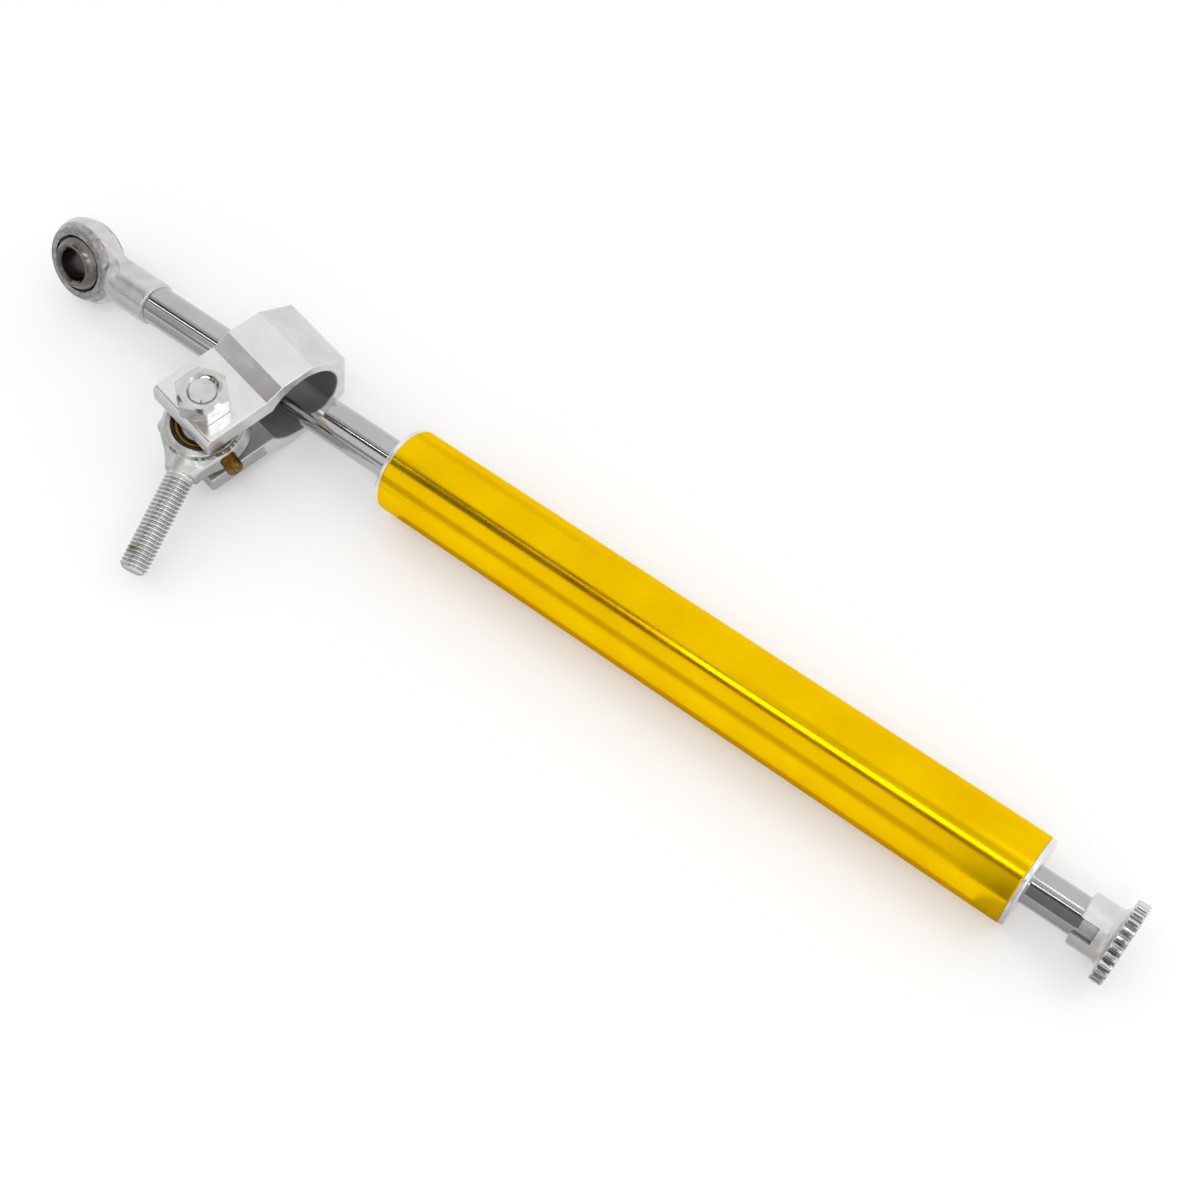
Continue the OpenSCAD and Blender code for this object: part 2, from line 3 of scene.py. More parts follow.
import bpy
import numpy as np
from mathutils import Matrix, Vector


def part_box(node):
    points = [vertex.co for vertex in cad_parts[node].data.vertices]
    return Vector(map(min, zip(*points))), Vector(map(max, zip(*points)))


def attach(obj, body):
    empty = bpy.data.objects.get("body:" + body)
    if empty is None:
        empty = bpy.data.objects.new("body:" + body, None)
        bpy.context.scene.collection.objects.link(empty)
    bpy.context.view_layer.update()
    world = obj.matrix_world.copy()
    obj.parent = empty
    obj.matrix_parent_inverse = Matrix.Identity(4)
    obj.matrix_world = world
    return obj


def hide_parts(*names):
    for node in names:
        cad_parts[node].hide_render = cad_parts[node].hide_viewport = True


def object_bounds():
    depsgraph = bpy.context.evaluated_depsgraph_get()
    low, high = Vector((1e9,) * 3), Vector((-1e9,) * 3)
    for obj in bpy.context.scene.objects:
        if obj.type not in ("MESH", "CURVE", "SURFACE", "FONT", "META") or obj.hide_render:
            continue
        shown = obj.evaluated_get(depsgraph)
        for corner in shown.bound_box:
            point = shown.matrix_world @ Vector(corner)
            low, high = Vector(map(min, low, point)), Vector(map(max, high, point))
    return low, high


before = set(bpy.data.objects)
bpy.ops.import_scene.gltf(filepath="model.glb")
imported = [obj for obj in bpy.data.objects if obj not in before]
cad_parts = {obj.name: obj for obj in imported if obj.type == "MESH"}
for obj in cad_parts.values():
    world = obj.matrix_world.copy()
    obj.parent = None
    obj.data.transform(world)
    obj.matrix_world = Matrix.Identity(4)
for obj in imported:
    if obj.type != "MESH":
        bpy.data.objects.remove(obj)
cad_low, cad_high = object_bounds()


# Cylinder tube
# Drawn aluminium tube, bored for the piston, polished outside and anodised gold. Its ends are
# faced square with a small broken edge, and an end cap is plugged into each.
MM = 0.001
TUBE_EDGE, BORE_EDGE = 0.35, 0.15
TUBE_WALL, TUBE_AROUND = 1.75, 192
GOLD = ((242, 198, 0), (235, 188, 0))
GOLD_SHEEN = (1.0, 0.82, 0.2, 1.0)


def rounded(corners, closed=True, steps=6):
    """Outline whose corners are arcs. A corner (a, b, radius) gives points on the circle of that radius that
    touches both of its sides, evenly in angle from one touching point to the other. An open outline keeps its
    two ends."""
    corners = np.array(corners, float)
    here, radius = corners[:, :2], corners[:, 2]
    to_last = np.roll(here, 1, 0) - here
    to_next = np.roll(here, -1, 0) - here
    to_last /= np.linalg.norm(to_last, axis=1, keepdims=True)
    to_next /= np.linalg.norm(to_next, axis=1, keepdims=True)
    half = np.arccos(np.clip((to_last * to_next).sum(1), -0.9999, 0.9999)) / 2
    inwards = to_last + to_next
    inwards /= np.linalg.norm(inwards, axis=1, keepdims=True)
    centre = here + inwards * (radius / np.sin(half))[:, None]
    reach = (radius / np.tan(half))[:, None]
    start = here + to_last * reach - centre
    end = here + to_next * reach - centre
    sweep = (np.pi - 2 * half)[:, None, None]
    share = np.linspace(0, 1, steps + 1)[:, None]
    arc = np.sin((1 - share) * sweep) * start[:, None] + np.sin(share * sweep) * end[:, None]
    points = centre[:, None] + arc / np.sin(sweep)
    if closed:
        return points.reshape(-1, 2)
    return np.concatenate([here[:1], points[1:-1].reshape(-1, 2), here[-1:]])


def turned(outline, around=144):
    """Surface turned about X: outline point (x, radius) at angle t goes to
    (x, -radius sin t, radius cos t)."""
    angle = np.linspace(0, 2 * np.pi, around, endpoint=False)[:, None]
    x, radius = outline.T
    return np.stack([x + 0 * angle, -radius * np.sin(angle), radius * np.cos(angle)], -1)


def grid_faces(rows, columns, wrap_rows=True, wrap_columns=True):
    """The four corners of every cell of a grid of points counted row by row. A wrapped side joins last to
    first."""
    i = np.arange(rows if wrap_rows else rows - 1)[:, None]
    j = np.arange(columns if wrap_columns else columns - 1)[None, :]
    below, beside = (i + 1) % rows, (j + 1) % columns
    cells = [i * columns + j, below * columns + j, below * columns + beside, i * columns + beside]
    return np.stack(np.broadcast_arrays(*cells), -1).reshape(-1, 4)


def put_mesh(name, points, faces, sharp=35):
    """Object with a mesh of points in millimetres. faces is a list of arrays, one row of corners a face. They
    are turned round if the volume, summed over the faces' triangles, comes out negative. Edges over the sharp
    angle stay sharp, and normals lean to the larger faces so that broken edges shade cleanly."""
    points = np.asarray(points, float).reshape(-1, 3) * MM
    volume = sum(
        np.einsum("ij,ij->", points[f[:, 0]], np.cross(points[f[:, k]], points[f[:, k + 1]]))
        for f in faces
        for k in range(1, f.shape[1] - 1)
    )
    faces = [f[:, ::-1] for f in faces] if volume < 0 else faces
    sizes = np.concatenate([np.full(len(f), f.shape[1]) for f in faces])
    mesh = bpy.data.meshes.new(name)
    mesh.vertices.add(len(points))
    mesh.vertices.foreach_set("co", points.astype(np.float32).ravel())
    mesh.loops.add(int(sizes.sum()))
    mesh.loops.foreach_set("vertex_index", np.concatenate([f.ravel() for f in faces]).astype(np.int32))
    mesh.polygons.add(len(sizes))
    mesh.polygons.foreach_set("loop_start", (np.cumsum(sizes) - sizes).astype(np.int32))
    mesh.update(calc_edges=True)
    mesh.validate()
    mesh.shade_smooth()
    mesh.set_sharp_from_angle(angle=math.radians(sharp))
    piece = bpy.data.objects.new(name, mesh)
    bpy.context.scene.collection.objects.link(piece)
    even = piece.modifiers.new("even_normals", "WEIGHTED_NORMAL")
    even.keep_sharp = True
    return piece


def put_skin(name, skin, sharp=35):
    """Object with the mesh of a grid of points that closes on itself both ways."""
    return put_mesh(name, skin, [grid_faces(*skin.shape[:2])], sharp)


def screen_colour(red, green, blue):
    """Linear colour of a screen colour from 0 to 255. Above the dark end each share, plus 0.055 and over
    1.055, is raised to the power 2.4."""
    share = np.array([red, green, blue]) / 255
    linear = np.where(share <= 0.04045, share / 12.92, ((share + 0.055) / 1.055) ** 2.4)
    return (*linear.tolist(), 1.0)


def new_group(name, inputs, outputs):
    """Empty shader group with named sockets. Gives its tree, its input node and its output node."""
    tree = bpy.data.node_groups.new(name, "ShaderNodeTree")
    for way, sockets in (("INPUT", inputs), ("OUTPUT", outputs)):
        for label, kind in sockets.items():
            tree.interface.new_socket(label, in_out=way, socket_type="NodeSocket" + kind)
    return tree, tree.nodes.new("NodeGroupInput"), tree.nodes.new("NodeGroupOutput")


def add_node(tree, kind, **values):
    """New shader node with values set on its inputs by name, with _ for a space."""
    node = tree.nodes.new("ShaderNode" + kind)
    for label, value in values.items():
        node.inputs[label.replace("_", " ")].default_value = value
    return node


def join(tree, *pairs):
    """Links outputs to inputs, given in pairs."""
    for source, target in pairs:
        tree.links.new(source, target)


def reckon(tree, operation, *terms):
    """Output of a Math node whose terms are outputs or numbers."""
    node = add_node(tree, "Math")
    node.operation = operation
    for socket, term in zip(node.inputs, terms):
        if isinstance(term, float):
            socket.default_value = term
        else:
            join(tree, (term, socket))
    return node.outputs["Value"]


def mix_colours(tree, share, under, over):
    """Colour output that goes from one colour output to another, or to a screen colour, as a share goes from
    0 to 1."""
    mixed = add_node(tree, "Mix")
    mixed.data_type = "RGBA"
    join(tree, (share, mixed.inputs[0]), (under, mixed.inputs[6]))
    if isinstance(over, tuple):
        mixed.inputs[7].default_value = screen_colour(*over)
    else:
        join(tree, (over, mixed.inputs[7]))
    return mixed.outputs[2]


# Cloudy roughness of a handled, polished surface
smudged_polish, given, made = new_group(
    "smudged_polish", {"Scale": "Float", "Least": "Float", "Most": "Float"}, {"Roughness": "Float"}
)
place = add_node(smudged_polish, "TexCoord")
cloud = add_node(smudged_polish, "TexNoise", Detail=5)
spread = add_node(smudged_polish, "MapRange", From_Min=0.3, From_Max=0.7)
join(
    smudged_polish,
    (place.outputs["Object"], cloud.inputs["Vector"]),
    (given.outputs["Scale"], cloud.inputs["Scale"]),
    (cloud.outputs["Fac"], spread.inputs["Value"]),
    (given.outputs["Least"], spread.inputs["To Min"]),
    (given.outputs["Most"], spread.inputs["To Max"]),
    (spread.outputs["Result"], made.inputs["Roughness"]),
)

# Slow drift between two close shades of one finish
mottled_colour, given, made = new_group(
    "mottled_colour", {"Scale": "Float", "Pale": "Color", "Deep": "Color"}, {"Color": "Color"}
)
place = add_node(mottled_colour, "TexCoord")
cloud = add_node(mottled_colour, "TexNoise", Detail=4)
spread = add_node(mottled_colour, "MapRange", From_Min=0.35, From_Max=0.65)
shade = mix_colours(mottled_colour, spread.outputs["Result"], given.outputs["Pale"], given.outputs["Deep"])
join(
    mottled_colour,
    (place.outputs["Object"], cloud.inputs["Vector"]),
    (given.outputs["Scale"], cloud.inputs["Scale"]),
    (cloud.outputs["Fac"], spread.inputs["Value"]),
    (shade, made.inputs["Color"]),
)

# Fine lines that a lathe or a polishing belt leaves round the damper's axis, on its bars and on its faces
lathe_lines, given, made = new_group("lathe_lines", {"Lines": "Float"}, {"Height": "Float"})
place = add_node(lathe_lines, "TexCoord")
apart = add_node(lathe_lines, "SeparateXYZ")
across = add_node(lathe_lines, "CombineXYZ")
radius = add_node(lathe_lines, "VectorMath")
radius.operation = "LENGTH"
ridges = add_node(lathe_lines, "TexNoise", Detail=3)
ridges.noise_dimensions = "1D"
join(
    lathe_lines,
    (place.outputs["Object"], apart.inputs["Vector"]),
    (apart.outputs["Y"], across.inputs["Y"]),
    (apart.outputs["Z"], across.inputs["Z"]),
    (across.outputs["Vector"], radius.inputs[0]),
    (reckon(lathe_lines, "ADD", radius.outputs["Value"], apart.outputs["X"]), ridges.inputs["W"]),
    (given.outputs["Lines"], ridges.inputs["Scale"]),
    (ridges.outputs["Fac"], made.inputs["Height"]),
)


def add_effect(material, group, *values):
    """Output of a group that is placed in a material with its own values, in the order of its inputs."""
    node = add_node(material.node_tree, "Group")
    node.node_tree = group
    for socket, value in zip(node.inputs, values):
        socket.default_value = value
    return node.outputs[0]


def drift_between(material, shades, scale):
    """Colour output that drifts between two screen colours."""
    return add_effect(material, mottled_colour, scale, *(screen_colour(*shade) for shade in shades))


def feed(material, source, socket):
    """Joins an output to a socket of the material's shader."""
    join(material.node_tree, (source, material.node_tree.nodes["Principled BSDF"].inputs[socket]))


def new_finish(name, shades, drift, polish, relief, depth, **sockets):
    """Material whose colour drifts between two screen colours at a scale. polish is the scale, least and most
    of its roughness. relief is a group and its values, and its height from 0 to 1 stands for a depth in
    millimetres. It is a metal unless the sockets, the shader's own constants by name, say otherwise."""
    material = bpy.data.materials.new(name)
    material.use_nodes = True
    for label, value in {"Metallic": 1.0, **sockets}.items():
        material.node_tree.nodes["Principled BSDF"].inputs[label.replace("_", " ")].default_value = value
    feed(material, drift_between(material, shades, drift), "Base Color")
    feed(material, add_effect(material, smudged_polish, *polish), "Roughness")
    bump = add_node(material.node_tree, "Bump", Strength=1.0, Distance=depth * MM)
    join(material.node_tree, (add_effect(material, *relief), bump.inputs["Height"]))
    feed(material, bump.outputs["Normal"], "Normal")
    return material


def dress(piece, material):
    """The piece wears this material alone."""
    piece.data.materials.clear()
    piece.data.materials.append(material)


gold = new_finish("gold_anodising", GOLD, 60.0, (90.0, 0.15, 0.2), (lathe_lines, 2600.0), 0.0015,
                  Specular_Tint=GOLD_SHEEN)

tube_low, tube_high = (np.array(corner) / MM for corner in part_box("tube"))
tube_x0, tube_x1, tube_r = tube_low[0], tube_high[0], tube_high[2]
bore_r = tube_r - TUBE_WALL
tube_section = rounded([
    (tube_x0, tube_r, TUBE_EDGE), (tube_x1, tube_r, TUBE_EDGE),
    (tube_x1, bore_r, BORE_EDGE), (tube_x0, bore_r, BORE_EDGE),
])
tube = put_skin("gold_tube", turned(tube_section, TUBE_AROUND))
dress(tube, gold)
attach(tube, "cylinder")
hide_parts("tube")


# End caps
# Turned aluminium plugs, bright and uncoated. A thin lip covers the tube's end, a groove holds an
# oil ring, and a pocket behind the hole takes the rod's seal and bush.
CAP_LIP, CAP_LENGTH, CAP_LIP_R = 1.5, 25.5, 12.6
PLUG_R, GROOVE_FLOOR, GROOVE = 10.95, 9.3, (6.5, 9.1)
POCKET_AT, HOLE_PLAY, POCKET_DEPTH = 9.0, 0.2, 2.0
ROD_R, REAR_ROD_R = 6.0, 5.6
CAP = ((236, 236, 238), (226, 226, 229))


def cap_section(shaft_r):
    """Outline of a cap from its outer face inwards, round a shaft of the given radius."""
    hole_r, pocket_r = shaft_r + HOLE_PLAY, shaft_r + POCKET_DEPTH
    return rounded([
        (0, hole_r, 0.3), (0, CAP_LIP_R, 0.55), (CAP_LIP, CAP_LIP_R, 0.15), (CAP_LIP, PLUG_R, 0.08),
        (GROOVE[0], PLUG_R, 0.1), (GROOVE[0], GROOVE_FLOOR, 0.1), (GROOVE[1], GROOVE_FLOOR, 0.1),
        (GROOVE[1], PLUG_R, 0.1), (CAP_LENGTH, PLUG_R, 0.3), (CAP_LENGTH, pocket_r, 0.2),
        (POCKET_AT, pocket_r, 0.1), (POCKET_AT, hole_r, 0.1),
    ])


cap_bright = new_finish("turned_cap_aluminium", CAP, 140.0, (200.0, 0.24, 0.34), (lathe_lines, 5200.0), 0.004)
for node, shaft_r, inwards in (("front_cap", ROD_R, 1), ("rear_cap", REAR_ROD_R, -1)):
    face = (tube_x0 if inwards > 0 else tube_x1) - inwards * CAP_LIP
    section = cap_section(shaft_r)
    section[:, 0] = face + inwards * section[:, 0]
    cap = put_skin(node + "_turned", turned(section, TUBE_AROUND))
    dress(cap, cap_bright)
    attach(cap, "cylinder")
    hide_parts(node)


# Bushes, seals and oil rings
# Sintered bronze bushes guide the rod in both caps, black rubber lip seals keep the oil in, and an
# oil ring seals each cap in the tube. They are pressed into the caps' pockets and grooves.
BRONZE = ((196, 146, 84), (150, 104, 58))
RUBBER = ((38, 38, 40), (24, 24, 26))

# Even, fine grain of a sintered, moulded or blasted surface
fine_grain, given, made = new_group("fine_grain", {"Scale": "Float"}, {"Height": "Float"})
place = add_node(fine_grain, "TexCoord")
grains = add_node(fine_grain, "TexNoise", Detail=3, Roughness=0.6)
join(
    fine_grain,
    (place.outputs["Object"], grains.inputs["Vector"]),
    (given.outputs["Scale"], grains.inputs["Scale"]),
    (grains.outputs["Fac"], made.inputs["Height"]),
)

bronze = new_finish("sintered_bronze", BRONZE, 900.0, (500.0, 0.3, 0.5), (fine_grain, 6000.0), 0.02)
rubber = new_finish("black_seal_rubber", RUBBER, 400.0, (300.0, 0.45, 0.65), (fine_grain, 8000.0), 0.01,
                    Metallic=0.0)
for node in ("front_bush", "rear_bush"):
    dress(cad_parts[node], bronze)
for node in ("front_rod_seal", "rear_rod_seal", "front_o_ring", "rear_o_ring"):
    dress(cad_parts[node], rubber)


# Piston
# Turned aluminium piston with four drilled bleed ports. A split band of brown plastic fills its
# groove and slides in the tube, and two sprung steel clips hold the piston endwise on the rod.
PISTON = ((206, 208, 210), (186, 188, 191))
BAND = ((120, 74, 40), (98, 58, 30))
CLIP = ((112, 116, 122), (84, 88, 95))

piston_metal = new_finish("turned_piston_aluminium", PISTON, 160.0, (250.0, 0.22, 0.34),
                          (lathe_lines, 4200.0), 0.006)
band_plastic = new_finish("brown_band_plastic", BAND, 500.0, (300.0, 0.35, 0.5), (fine_grain, 5000.0), 0.008,
                          Metallic=0.0)
clip_steel = new_finish("blued_clip_steel", CLIP, 600.0, (400.0, 0.25, 0.4), (fine_grain, 7000.0), 0.006)
dress(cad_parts["piston"], piston_metal)
dress(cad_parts["piston_ring"], band_plastic)
dress(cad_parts["piston_circlips"], clip_steel)


# Rod
# Ground and hard-chromed steel rod that runs through both caps: thicker in front, where its
# spigot screws into the eye, thinner behind the piston, and drilled from the rear for the needle.
SPIGOT_R = 5.0
ROD_CLIPS = (178.65, 195.75)
CLIP_WIDTH, CLIP_FLOOR = 1.0, 5.4
CLIP_EDGE, STEP_EDGE, END_EDGE = 0.06, 0.1, 0.5
ROD_STEP, SHANK_END = 199.7, 29.3
NEEDLE_BORE_R, NEEDLE_SEAT = 2.1, 182.7
PORT_R, PORT_START = 1.0, 175.7
SATIN_FROM, SATIN_TO = 0.8, 1.2
CHROME = ((186, 186, 187), (179, 179, 181))


def closed_rings(rings, poles):
    """Points and face arrays of a solid from rows of rings of points: cells between the rings, and at each
    end a fan of triangles to one pole."""
    rows, around = rings.shape[:2]
    here = np.arange(around)
    beside = (here + 1) % around
    last_ring = (rows - 1) * around
    first_fan = np.stack([np.full(around, rows * around), here, beside], 1)
    last_fan = np.stack([np.full(around, rows * around + 1), last_ring + beside, last_ring + here], 1)
    points = np.concatenate([rings.reshape(-1, 3), poles])
    return points, [grid_faces(rows, around, wrap_rows=False), first_fan, last_fan]


def turned_solid(outline, around=144):
    """Solid turned about X from an open outline whose two ends lie on the axis."""
    rings = turned(outline[1:-1], around).transpose(1, 0, 2)
    return closed_rings(rings, [[outline[0, 0], 0, 0], [outline[-1, 0], 0, 0]])


rod_low, rod_high = (np.array(corner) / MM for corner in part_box("rod"))
clip_grooves = []
for start in ROD_CLIPS:
    end = start + CLIP_WIDTH
    for x, r in ((start, ROD_R), (start, CLIP_FLOOR), (end, CLIP_FLOOR), (end, ROD_R)):
        clip_grooves.append((x, r, CLIP_EDGE))
rod_outline = rounded([
    (rod_low[0], 0, 0), (rod_low[0], SPIGOT_R, END_EDGE), (SHANK_END, SPIGOT_R, STEP_EDGE),
    (SHANK_END, ROD_R, STEP_EDGE), *clip_grooves, (ROD_STEP, ROD_R, STEP_EDGE),
    (ROD_STEP, REAR_ROD_R, STEP_EDGE), (rod_high[0], REAR_ROD_R, END_EDGE), (rod_high[0], NEEDLE_BORE_R, 0.2),
    (NEEDLE_SEAT, NEEDLE_BORE_R, STEP_EDGE), (NEEDLE_SEAT, PORT_R, STEP_EDGE), (PORT_START, PORT_R, 0.2),
    (PORT_START, 0, 0),
], closed=False)
rod = put_mesh("chromed_rod", *turned_solid(rod_outline))


def fed(material, socket):
    """The output that feeds a socket of the material's shader so far."""
    return material.node_tree.nodes["Principled BSDF"].inputs[socket].links[0].from_socket


def grade_along(material, start, end, polish):
    """The material's roughness goes over to another polish as X goes from start to end, in millimetres."""
    tree = material.node_tree
    place = add_node(tree, "TexCoord")
    apart = add_node(tree, "SeparateXYZ")
    share = add_node(tree, "MapRange", From_Min=start * MM, From_Max=end * MM)
    mixed = add_node(tree, "Mix")
    join(
        tree,
        (place.outputs["Object"], apart.inputs["Vector"]),
        (apart.outputs["X"], share.inputs["Value"]),
        (share.outputs["Result"], mixed.inputs[0]),
        (fed(material, "Roughness"), mixed.inputs[2]),
        (add_effect(material, smudged_polish, *polish), mixed.inputs[3]),
    )
    feed(material, mixed.outputs[0], "Roughness")


chrome = new_finish("hard_chrome", CHROME, 80.0, (160.0, 0.05, 0.09), (lathe_lines, 6000.0), 0.0004)
# The rod's rear end, inside the knob's hub, is left satin
knob_low = np.array(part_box("adjuster_knob")[0]) / MM
grade_along(chrome, knob_low[0] + SATIN_FROM, knob_low[0] + SATIN_TO, (160.0, 0.36, 0.46))
dress(rod, chrome)
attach(rod, "rod")
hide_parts("rod")


# Detent under the knob
# A hardened steel ball and its short coil spring, set in a blind hole in the rod. The ball clicks
# into the grooves of the knob's bore.
BALL_STEEL = ((150, 146, 142), (132, 128, 125))
bearing_steel = new_finish("polished_bearing_steel", BALL_STEEL, 300.0, (260.0, 0.1, 0.2),
                           (fine_grain, 9000.0), 0.0015)
dress(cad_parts["detent_ball"], bearing_steel)
dress(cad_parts["detent_spring"], clip_steel)


# Eye housing
# Drop-forged steel eye, zinc plated and tumbled to a satin grey. Its tapered neck runs into a round
# shank that is bored and tapped for the rod's spigot.
EYE_R, EYE_HALF, EYE_RIM_HALF = 13.2, 4.9, 2.2
EYE_FACE_R, EYE_SEAT_R = 10.905, 10.405
EYE_SHANK_R, EYE_NECK_X = 6.85, 14.5
EYE_NOSE = (10.2, 4.6, 14.2)
SPIGOT_BORE = (15.2, 5.05)
EYE_TURN = math.radians(64)
WEDGE_MID, WEDGE_HALF = 10.5, 4
EYE_STEP, EYE_LOW, EYE_HIGH = 0.3, (-14, -14, -7.6), (30.2, 14, 7.6)
SLIDES, PROBE, LONGEST_SLIDE, LEAST_SLOPE = 3, 0.01, 0.6, 0.1
FACE_BLEND, RIM_BLEND, WEB_BLEND = 0.4, 2.4, 1.6
NOSE_BLEND, NOSE_END_BLEND, SHANK_BLEND = 1.5, 0.5, 1.3
WEDGE_FILLET, SHANK_FILLET = 1.8, 2.2
SEAT_BLEND, SPIGOT_BLEND = 0.45, 0.3
# Zone and darker shades of the ring's sloped faces: part forged finish, part painted shade
FORGED_SHADE_R, FORGED_SHADE_Z, FORGED_SHADE_FADE = 12.8, 2.4, 0.4
PLATE = ((212, 212, 211), (198, 198, 197))
FORGED_AND_SHADE = ((176, 176, 175), (142, 142, 141))


def blend_low(a, b, width):
    """Smooth smaller of two distances: where they differ by less than width, a parabola joins them below
    both."""
    near = np.maximum(width - np.abs(a - b), 0)
    return np.minimum(a, b) - near * near / (4 * width)


def blend_high(a, b, width):
    """Smooth larger of two distances, rounding the edge where they meet."""
    return -blend_low(-a, -b, width)


def skin_of(distance, low, high, step):
    """Points and faces of the surface where a distance is zero. The distance is sampled on a cubic grid. Each
    cell that the surface crosses gets one point, the mean of the crossings on its edges, and each crossed
    grid edge gives a face between the four cells round it. Then the points slide along the slope onto the
    zero."""
    axes = [np.arange(a, b + step, step) for a, b in zip(low, high)]
    grid = np.stack(np.meshgrid(*axes, indexing="ij"), -1)
    value = distance(grid)
    cells = tuple(n - 1 for n in value.shape)
    total, count = np.zeros(cells + (3,)), np.zeros(cells)
    crossings = []
    for axis in range(3):
        others = [k for k in range(3) if k != axis]
        start = np.take(value, range(cells[axis]), axis)
        stop = np.take(value, range(1, cells[axis] + 1), axis)
        crossed = (start < 0) != (stop < 0)
        share = np.where(crossed, start / np.where(crossed, start - stop, 1), 0)
        place = np.take(grid, range(cells[axis]), axis).copy()
        place[..., axis] += share * step
        crossings.append((crossed, start < 0))
        for first in (0, 1):
            for second in (0, 1):
                part = [slice(None)] * 3
                part[others[0]] = slice(first, first + cells[others[0]])
                part[others[1]] = slice(second, second + cells[others[1]])
                total += place[tuple(part)] * crossed[tuple(part)][..., None]
                count += crossed[tuple(part)]
    number = np.full(cells, -1)
    number[count > 0] = np.arange(int((count > 0).sum()))
    points = total[count > 0] / count[count > 0][:, None]
    faces = []
    for axis, (crossed, from_inside) in enumerate(crossings):
        b, c = [(axis + 1) % 3, (axis + 2) % 3]
        inner = [slice(None)] * 3
        inner[b], inner[c] = slice(1, cells[b]), slice(1, cells[c])
        at = np.argwhere(crossed[tuple(inner)])
        at[:, b] += 1
        at[:, c] += 1
        outwards = from_inside[tuple(at.T)]
        step_b, step_c = np.eye(3, dtype=int)[b], np.eye(3, dtype=int)[c]
        ring = [at - step_b - step_c, at - step_c, at, at - step_b]
        quad = np.stack([number[tuple(corner.T)] for corner in ring], 1)
        faces.append(np.where(outwards[:, None], quad, quad[:, ::-1]))
    for _ in range(SLIDES):
        here = distance(points)
        probes = np.eye(3) * PROBE
        slope = np.stack([distance(points + d) - distance(points - d) for d in probes], -1) / (2 * PROBE)
        move = here[:, None] * slope / np.maximum((slope * slope).sum(1, keepdims=True), LEAST_SLOPE)
        points = points - np.clip(move, -LONGEST_SLIDE * step, LONGEST_SLIDE * step)
    return points, [np.concatenate(faces)]


def eye_distance(p):
    """Distance to the forging, with X along the shank and Z along the bore: a ring with sloped faces, a wedge
    tangent to the ring and a turned shank are joined with fillets, then the race's seat and the spigot's bore
    are cut."""
    x, y, z = p[..., 0], np.abs(p[..., 1]), np.abs(p[..., 2])
    from_bore, from_shank = np.hypot(x, y), np.hypot(y, z)
    slope = np.array([EYE_HALF - EYE_RIM_HALF, EYE_R - EYE_FACE_R])
    slope /= np.linalg.norm(slope)
    sloped = (from_bore - EYE_FACE_R) * slope[0] + (z - EYE_HALF) * slope[1]
    ring = blend_high(z - EYE_HALF, sloped, FACE_BLEND)
    ring = blend_high(ring, from_bore - EYE_R, RIM_BLEND)
    touch = math.atan2(EYE_SHANK_R, EYE_NECK_X) + math.acos(EYE_R / math.hypot(EYE_NECK_X, EYE_SHANK_R))
    wedge = blend_high(x * math.cos(touch) + y * math.sin(touch) - EYE_R, z - EYE_RIM_HALF, WEB_BLEND)
    wedge = np.maximum(wedge, np.abs(x - WEDGE_MID) - WEDGE_HALF)
    start, start_r, full = EYE_NOSE
    taper = (EYE_SHANK_R - start_r) / (full - start)
    nose = (from_shank - start_r - (x - start) * taper) / math.hypot(1, taper)
    shank = blend_high(blend_high(from_shank - EYE_SHANK_R, nose, NOSE_BLEND), start - x, NOSE_END_BLEND)
    shank = blend_high(shank, x - SHANK_END, SHANK_BLEND)
    body = blend_low(blend_low(ring, wedge, WEDGE_FILLET), shank, SHANK_FILLET)
    body = np.maximum(body, x - SHANK_END)
    body = blend_high(body, EYE_SEAT_R - from_bore, SEAT_BLEND)
    bore = np.maximum(from_shank - SPIGOT_BORE[1], SPIGOT_BORE[0] - x)
    return blend_high(body, -bore, SPIGOT_BLEND)


def turn_matrix(x=0.0, y=0.0, z=0.0):
    """Turn about X, then Y, then Z, by angles in radians."""
    about_x = np.array([[1, 0, 0], [0, math.cos(x), -math.sin(x)], [0, math.sin(x), math.cos(x)]])
    about_y = np.array([[math.cos(y), 0, math.sin(y)], [0, 1, 0], [-math.sin(y), 0, math.cos(y)]])
    about_z = np.array([[math.cos(z), -math.sin(z), 0], [math.sin(z), math.cos(z), 0], [0, 0, 1]])
    return about_z @ about_y @ about_x


in_eye = turn_matrix(x=EYE_TURN)
eye_points, eye_faces = skin_of(eye_distance, EYE_LOW, EYE_HIGH, EYE_STEP)
eye_housing = put_mesh("forged_eye", eye_points @ in_eye.T, eye_faces, sharp=60)


def set_layer(piece, label, values, domain="POINT"):
    """Stores one number for each point or face of a piece under a name that its material reads."""
    layer = piece.data.attributes.new(label, "FLOAT", domain)
    layer.data.foreach_set("value", np.asarray(values, np.float32))


def stored(material, label):
    """Output of a number that the mesh stores under a name."""
    node = add_node(material.node_tree, "Attribute")
    node.attribute_name = label
    return node.outputs["Fac"]


def tint_where(material, label, over):
    """The material's colour goes over to another, an output or a screen colour, as a stored number goes from
    0 to 1."""
    share = stored(material, label)
    feed(material, mix_colours(material.node_tree, share, fed(material, "Base Color"), over), "Base Color")


# The ring's sloped faces are painted darker, partly for their dull forged finish and partly as painted shade
# for the darker surroundings that they reflect; the rim, neck and shank are rubbed bright
from_bore = np.hypot(eye_points[:, 0], eye_points[:, 1])
forged_and_shade = np.clip((FORGED_SHADE_R - from_bore) / FORGED_SHADE_FADE, 0, 1)
forged_and_shade *= np.clip((np.abs(eye_points[:, 2]) - FORGED_SHADE_Z) / FORGED_SHADE_FADE, 0, 1)
set_layer(eye_housing, "forged_and_shade", forged_and_shade)

